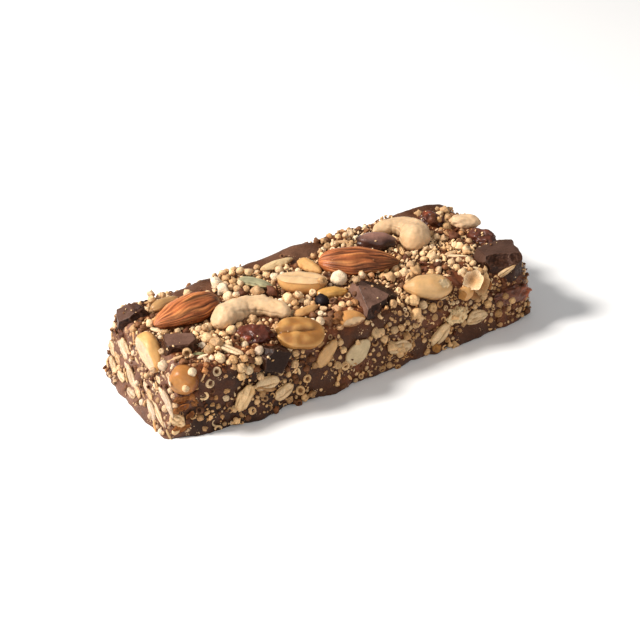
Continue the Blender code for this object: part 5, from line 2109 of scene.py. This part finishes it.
# Small things between the grains: piece, kinds, finish, seed, size in millimetres, lift as a share of
# the size, spacing, palette weights (cream, tan, brown, red), tries on each side
CRUMB_ROUNDS = (
    ("grain_curls", ("curl",), "puffed_grain", 71, (1.1, 2.1), (0.05, 0.25), 0.95, (4, 2, 0, 0),
     (("front", 1300), ("back", 600), ("left", 300), ("right", 200), ("top", 500))),
    ("popped_lumps", ("lump",), "oat", 72, (0.9, 2.2), (0.0, 0.45), 0.85, (5, 4, 3, 1),
     (("top", 2900), ("front", 1300), ("back", 500), ("left", 500), ("right", 200))),
    ("nut_chips", ("chip",), "pale_nut", 73, (1.2, 2.8), (0.0, 0.2), 0.9, (4, 2, 0, 0),
     (("top", 160), ("front", 200), ("back", 220), ("left", 90), ("right", 90))),
    ("crumbs", ("bit",), "oat", 74, (0.35, 1.1), (0.0, 0.7), 0.8, (5, 4, 3, 1),
     (("top", 6500), ("front", 1800), ("back", 1500), ("left", 900), ("right", 600))),
)


class BAR_OT_crumbs(Operator):
    """Fills the gaps with popped lumps, curls, chips and crumbs"""

    bl_idname = "protein_bar.crumbs"
    bl_label = "Crumbs and curls"

    def execute(self, context):
        bed = GrainBed.shared()
        colours = grain_colours(bed.grain)
        for name, kinds, finish, seed, sizes, lifts, spacing, weights, rounds in CRUMB_ROUNDS:
            heap = Heap()
            draw = random.Random(seed)
            palette = tuple(zip(weights, [colours[shade] for shade in ("cream", "tan", "brown", "red")]))
            for side, tries in rounds:
                for place, outward, smooth in bed.spots(side, tries, draw):
                    size = draw.uniform(*sizes) * MM
                    middle = place + outward * draw.uniform(*lifts) * size
                    if is_bare(smooth, draw):
                        continue
                    if not bed.clear(middle, size / 2) or not bed.taken.free(middle, size / 2, spacing):
                        continue
                    scale = (size, size * draw.uniform(0.6, 1), size * draw.uniform(0.5, 0.9))
                    if name == "popped_lumps" and crumbly(place):
                        slim = (0.45, 0.7)
                        scale = (size * 1.35, size * draw.uniform(*slim), size * draw.uniform(*slim))
                    template = draw.choice(bed.kinds[draw.choice(kinds)])
                    spun = spun_frame(middle, outward, draw, 0.5)
                    heap.add(template, spun, scale, bed.glazed_and_shaded(shade_of(draw, palette), place, outward))
                    bed.taken.add(middle, size / 2)
            heap.piece(name, finish, smooth=name != "nut_chips")
        return {"FINISHED"}


# Crumbs that stick to a topping: its colour in TOPPINGS, or chocolate, and how many
STUCK_CRUMBS = {
    "almond": 5, "cashew": 3, "peanut": 4, "pale_nut": 3, "green_seed": 3, "fruit": 16, "chocolate": 16,
}
STUCK_SIZES = (0.28, 0.35, 0.45, 0.6, 0.8)  # in millimetres


class BAR_OT_stuck_crumbs(Operator):
    """Sticks crumbs to the toppings"""

    bl_idname = "protein_bar.stuck_crumbs"
    bl_label = "Crumbs on the toppings"

    def execute(self, context):
        bed = GrainBed.shared()
        colours = grain_colours(bed.grain)
        palette = ((4, colours["cream"]), (3, colours["tan"]), (2, colours["brown"]))
        draw = random.Random(91)
        heap = Heap()
        carriers = [row[:2] for row in TOPPINGS] + [(row[0], "chocolate") for row in CHUNKS]
        for name, kind in carriers:
            skin = bpy.data.objects[name + "_piece"]
            turn = skin.matrix_world.to_3x3()
            for _ in range(STUCK_CRUMBS[kind]):
                face = draw.choice(skin.data.polygons)
                outward = (turn @ face.normal).normalized()
                if outward.z < -0.2:
                    continue
                size = draw.choice(STUCK_SIZES) * MM
                place = skin.matrix_world @ face.center + outward * size * 0.2
                spun = spun_frame(place, outward, draw, 0.5)
                scale = (size, size * draw.uniform(0.6, 1), size * draw.uniform(0.5, 0.9))
                heap.add(draw.choice(bed.kinds["bit"]), spun, scale, shade_of(draw, palette))
        heap.piece("stuck_crumbs", "oat")
        return {"FINISHED"}


FLOOR_REACH = 3.0  # half the floor's width, in metres


class BAR_OT_stage(Operator):
    """Sets the pale floor, the soft lights and the camera"""

    bl_idname = "protein_bar.stage"
    bl_label = "Floor, lights and camera"

    def execute(self, context):
        stage = settings()[3]
        scene = context.scene
        scene.view_settings.view_transform = "Standard"
        scene.view_settings.look = "None"

        mesh = bpy.data.meshes.new("floor")
        corners = [(x * FLOOR_REACH, y * FLOOR_REACH, 0) for x, y in ((-1, -1), (1, -1), (1, 1), (-1, 1))]
        mesh.from_pydata(corners, [], [(0, 1, 2, 3)])
        material = bpy.data.materials.new("floor")
        material.use_nodes = True
        shader = material.node_tree.nodes["Principled BSDF"]
        shader.inputs["Base Color"].default_value = (*stage.floor_colour, 1)
        shader.inputs["Roughness"].default_value = 0.9
        mesh.materials.append(material)
        linked_object("floor", mesh)

        world = bpy.data.worlds.new("studio")
        world.use_nodes = True
        background = world.node_tree.nodes["Background"]
        background.inputs["Color"].default_value = (1, 1, 1, 1)
        background.inputs["Strength"].default_value = stage.sky
        scene.world = world

        # Name, place, width, power and colour
        lights = (
            ("key", Vector((-0.62, 0.30, 0.62)), 0.24, stage.key_power, (1.0, 0.965, 0.92)),
            ("fill", Vector((-0.25, -0.70, 0.55)), 0.8, stage.fill_power, (1.0, 0.98, 0.96)),
        )
        for name, place, width, power, colour in lights:
            data = bpy.data.lights.new(name, "AREA")
            data.shape = "DISK"
            data.size = width
            data.energy = power
            data.color = colour
            lamp = linked_object(name, data)
            lamp.location = place
            lamp.rotation_euler = place.to_track_quat("Z", "Y").to_euler()

        data = bpy.data.cameras.new("camera")
        data.lens = stage.lens
        data.sensor_width = SENSOR
        data.clip_start = 0.01
        camera = linked_object("camera", data)
        camera.location = CAMERA_PLACE
        camera.rotation_mode = "QUATERNION"
        camera.rotation_quaternion = CAMERA_BACK.to_track_quat("Z", "Y")
        scene.camera = camera
        return {"FINISHED"}


class BAR_PT_panel(Panel):
    """The steps that build the bar"""

    bl_label = "Protein bar"
    bl_idname = "BAR_PT_panel"
    bl_space_type = "VIEW_3D"
    bl_region_type = "UI"
    bl_category = "Protein bar"

    def draw(self, context):
        for group in settings():
            box = self.layout.box()
            for name in group.__annotations__:
                box.prop(group, name)
        for operator in OPERATORS:
            self.layout.operator(operator.bl_idname)


GROUPS = (
    ("bar_block", BlockSettings),
    ("bar_grains", GrainSettings),
    ("bar_toppings", ToppingSettings),
    ("bar_stage", StageSettings),
)
OPERATORS = (
    BAR_OT_block,
    BAR_OT_almonds,
    BAR_OT_cashews,
    BAR_OT_peanuts,
    BAR_OT_cut_nuts,
    BAR_OT_fruit,
    BAR_OT_chocolate,
    BAR_OT_shown_grains,
    BAR_OT_puffs,
    BAR_OT_flakes,
    BAR_OT_crumbs,
    BAR_OT_stuck_crumbs,
    BAR_OT_stage,
)


def register():
    """Adds the settings, the operators and the panel."""
    for name, group in GROUPS:
        bpy.utils.register_class(group)
        setattr(bpy.types.Scene, name, PointerProperty(type=group))
    for operator in OPERATORS:
        bpy.utils.register_class(operator)
    bpy.utils.register_class(BAR_PT_panel)


def unregister():
    """Takes them out again."""
    bpy.utils.unregister_class(BAR_PT_panel)
    for operator in reversed(OPERATORS):
        bpy.utils.unregister_class(operator)
    for name, group in reversed(GROUPS):
        delattr(bpy.types.Scene, name)
        bpy.utils.unregister_class(group)


def main():
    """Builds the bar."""
    register()
    for operator in OPERATORS:
        family, name = operator.bl_idname.split(".")
        getattr(getattr(bpy.ops, family), name)()


if __name__ == "__main__":
    main()
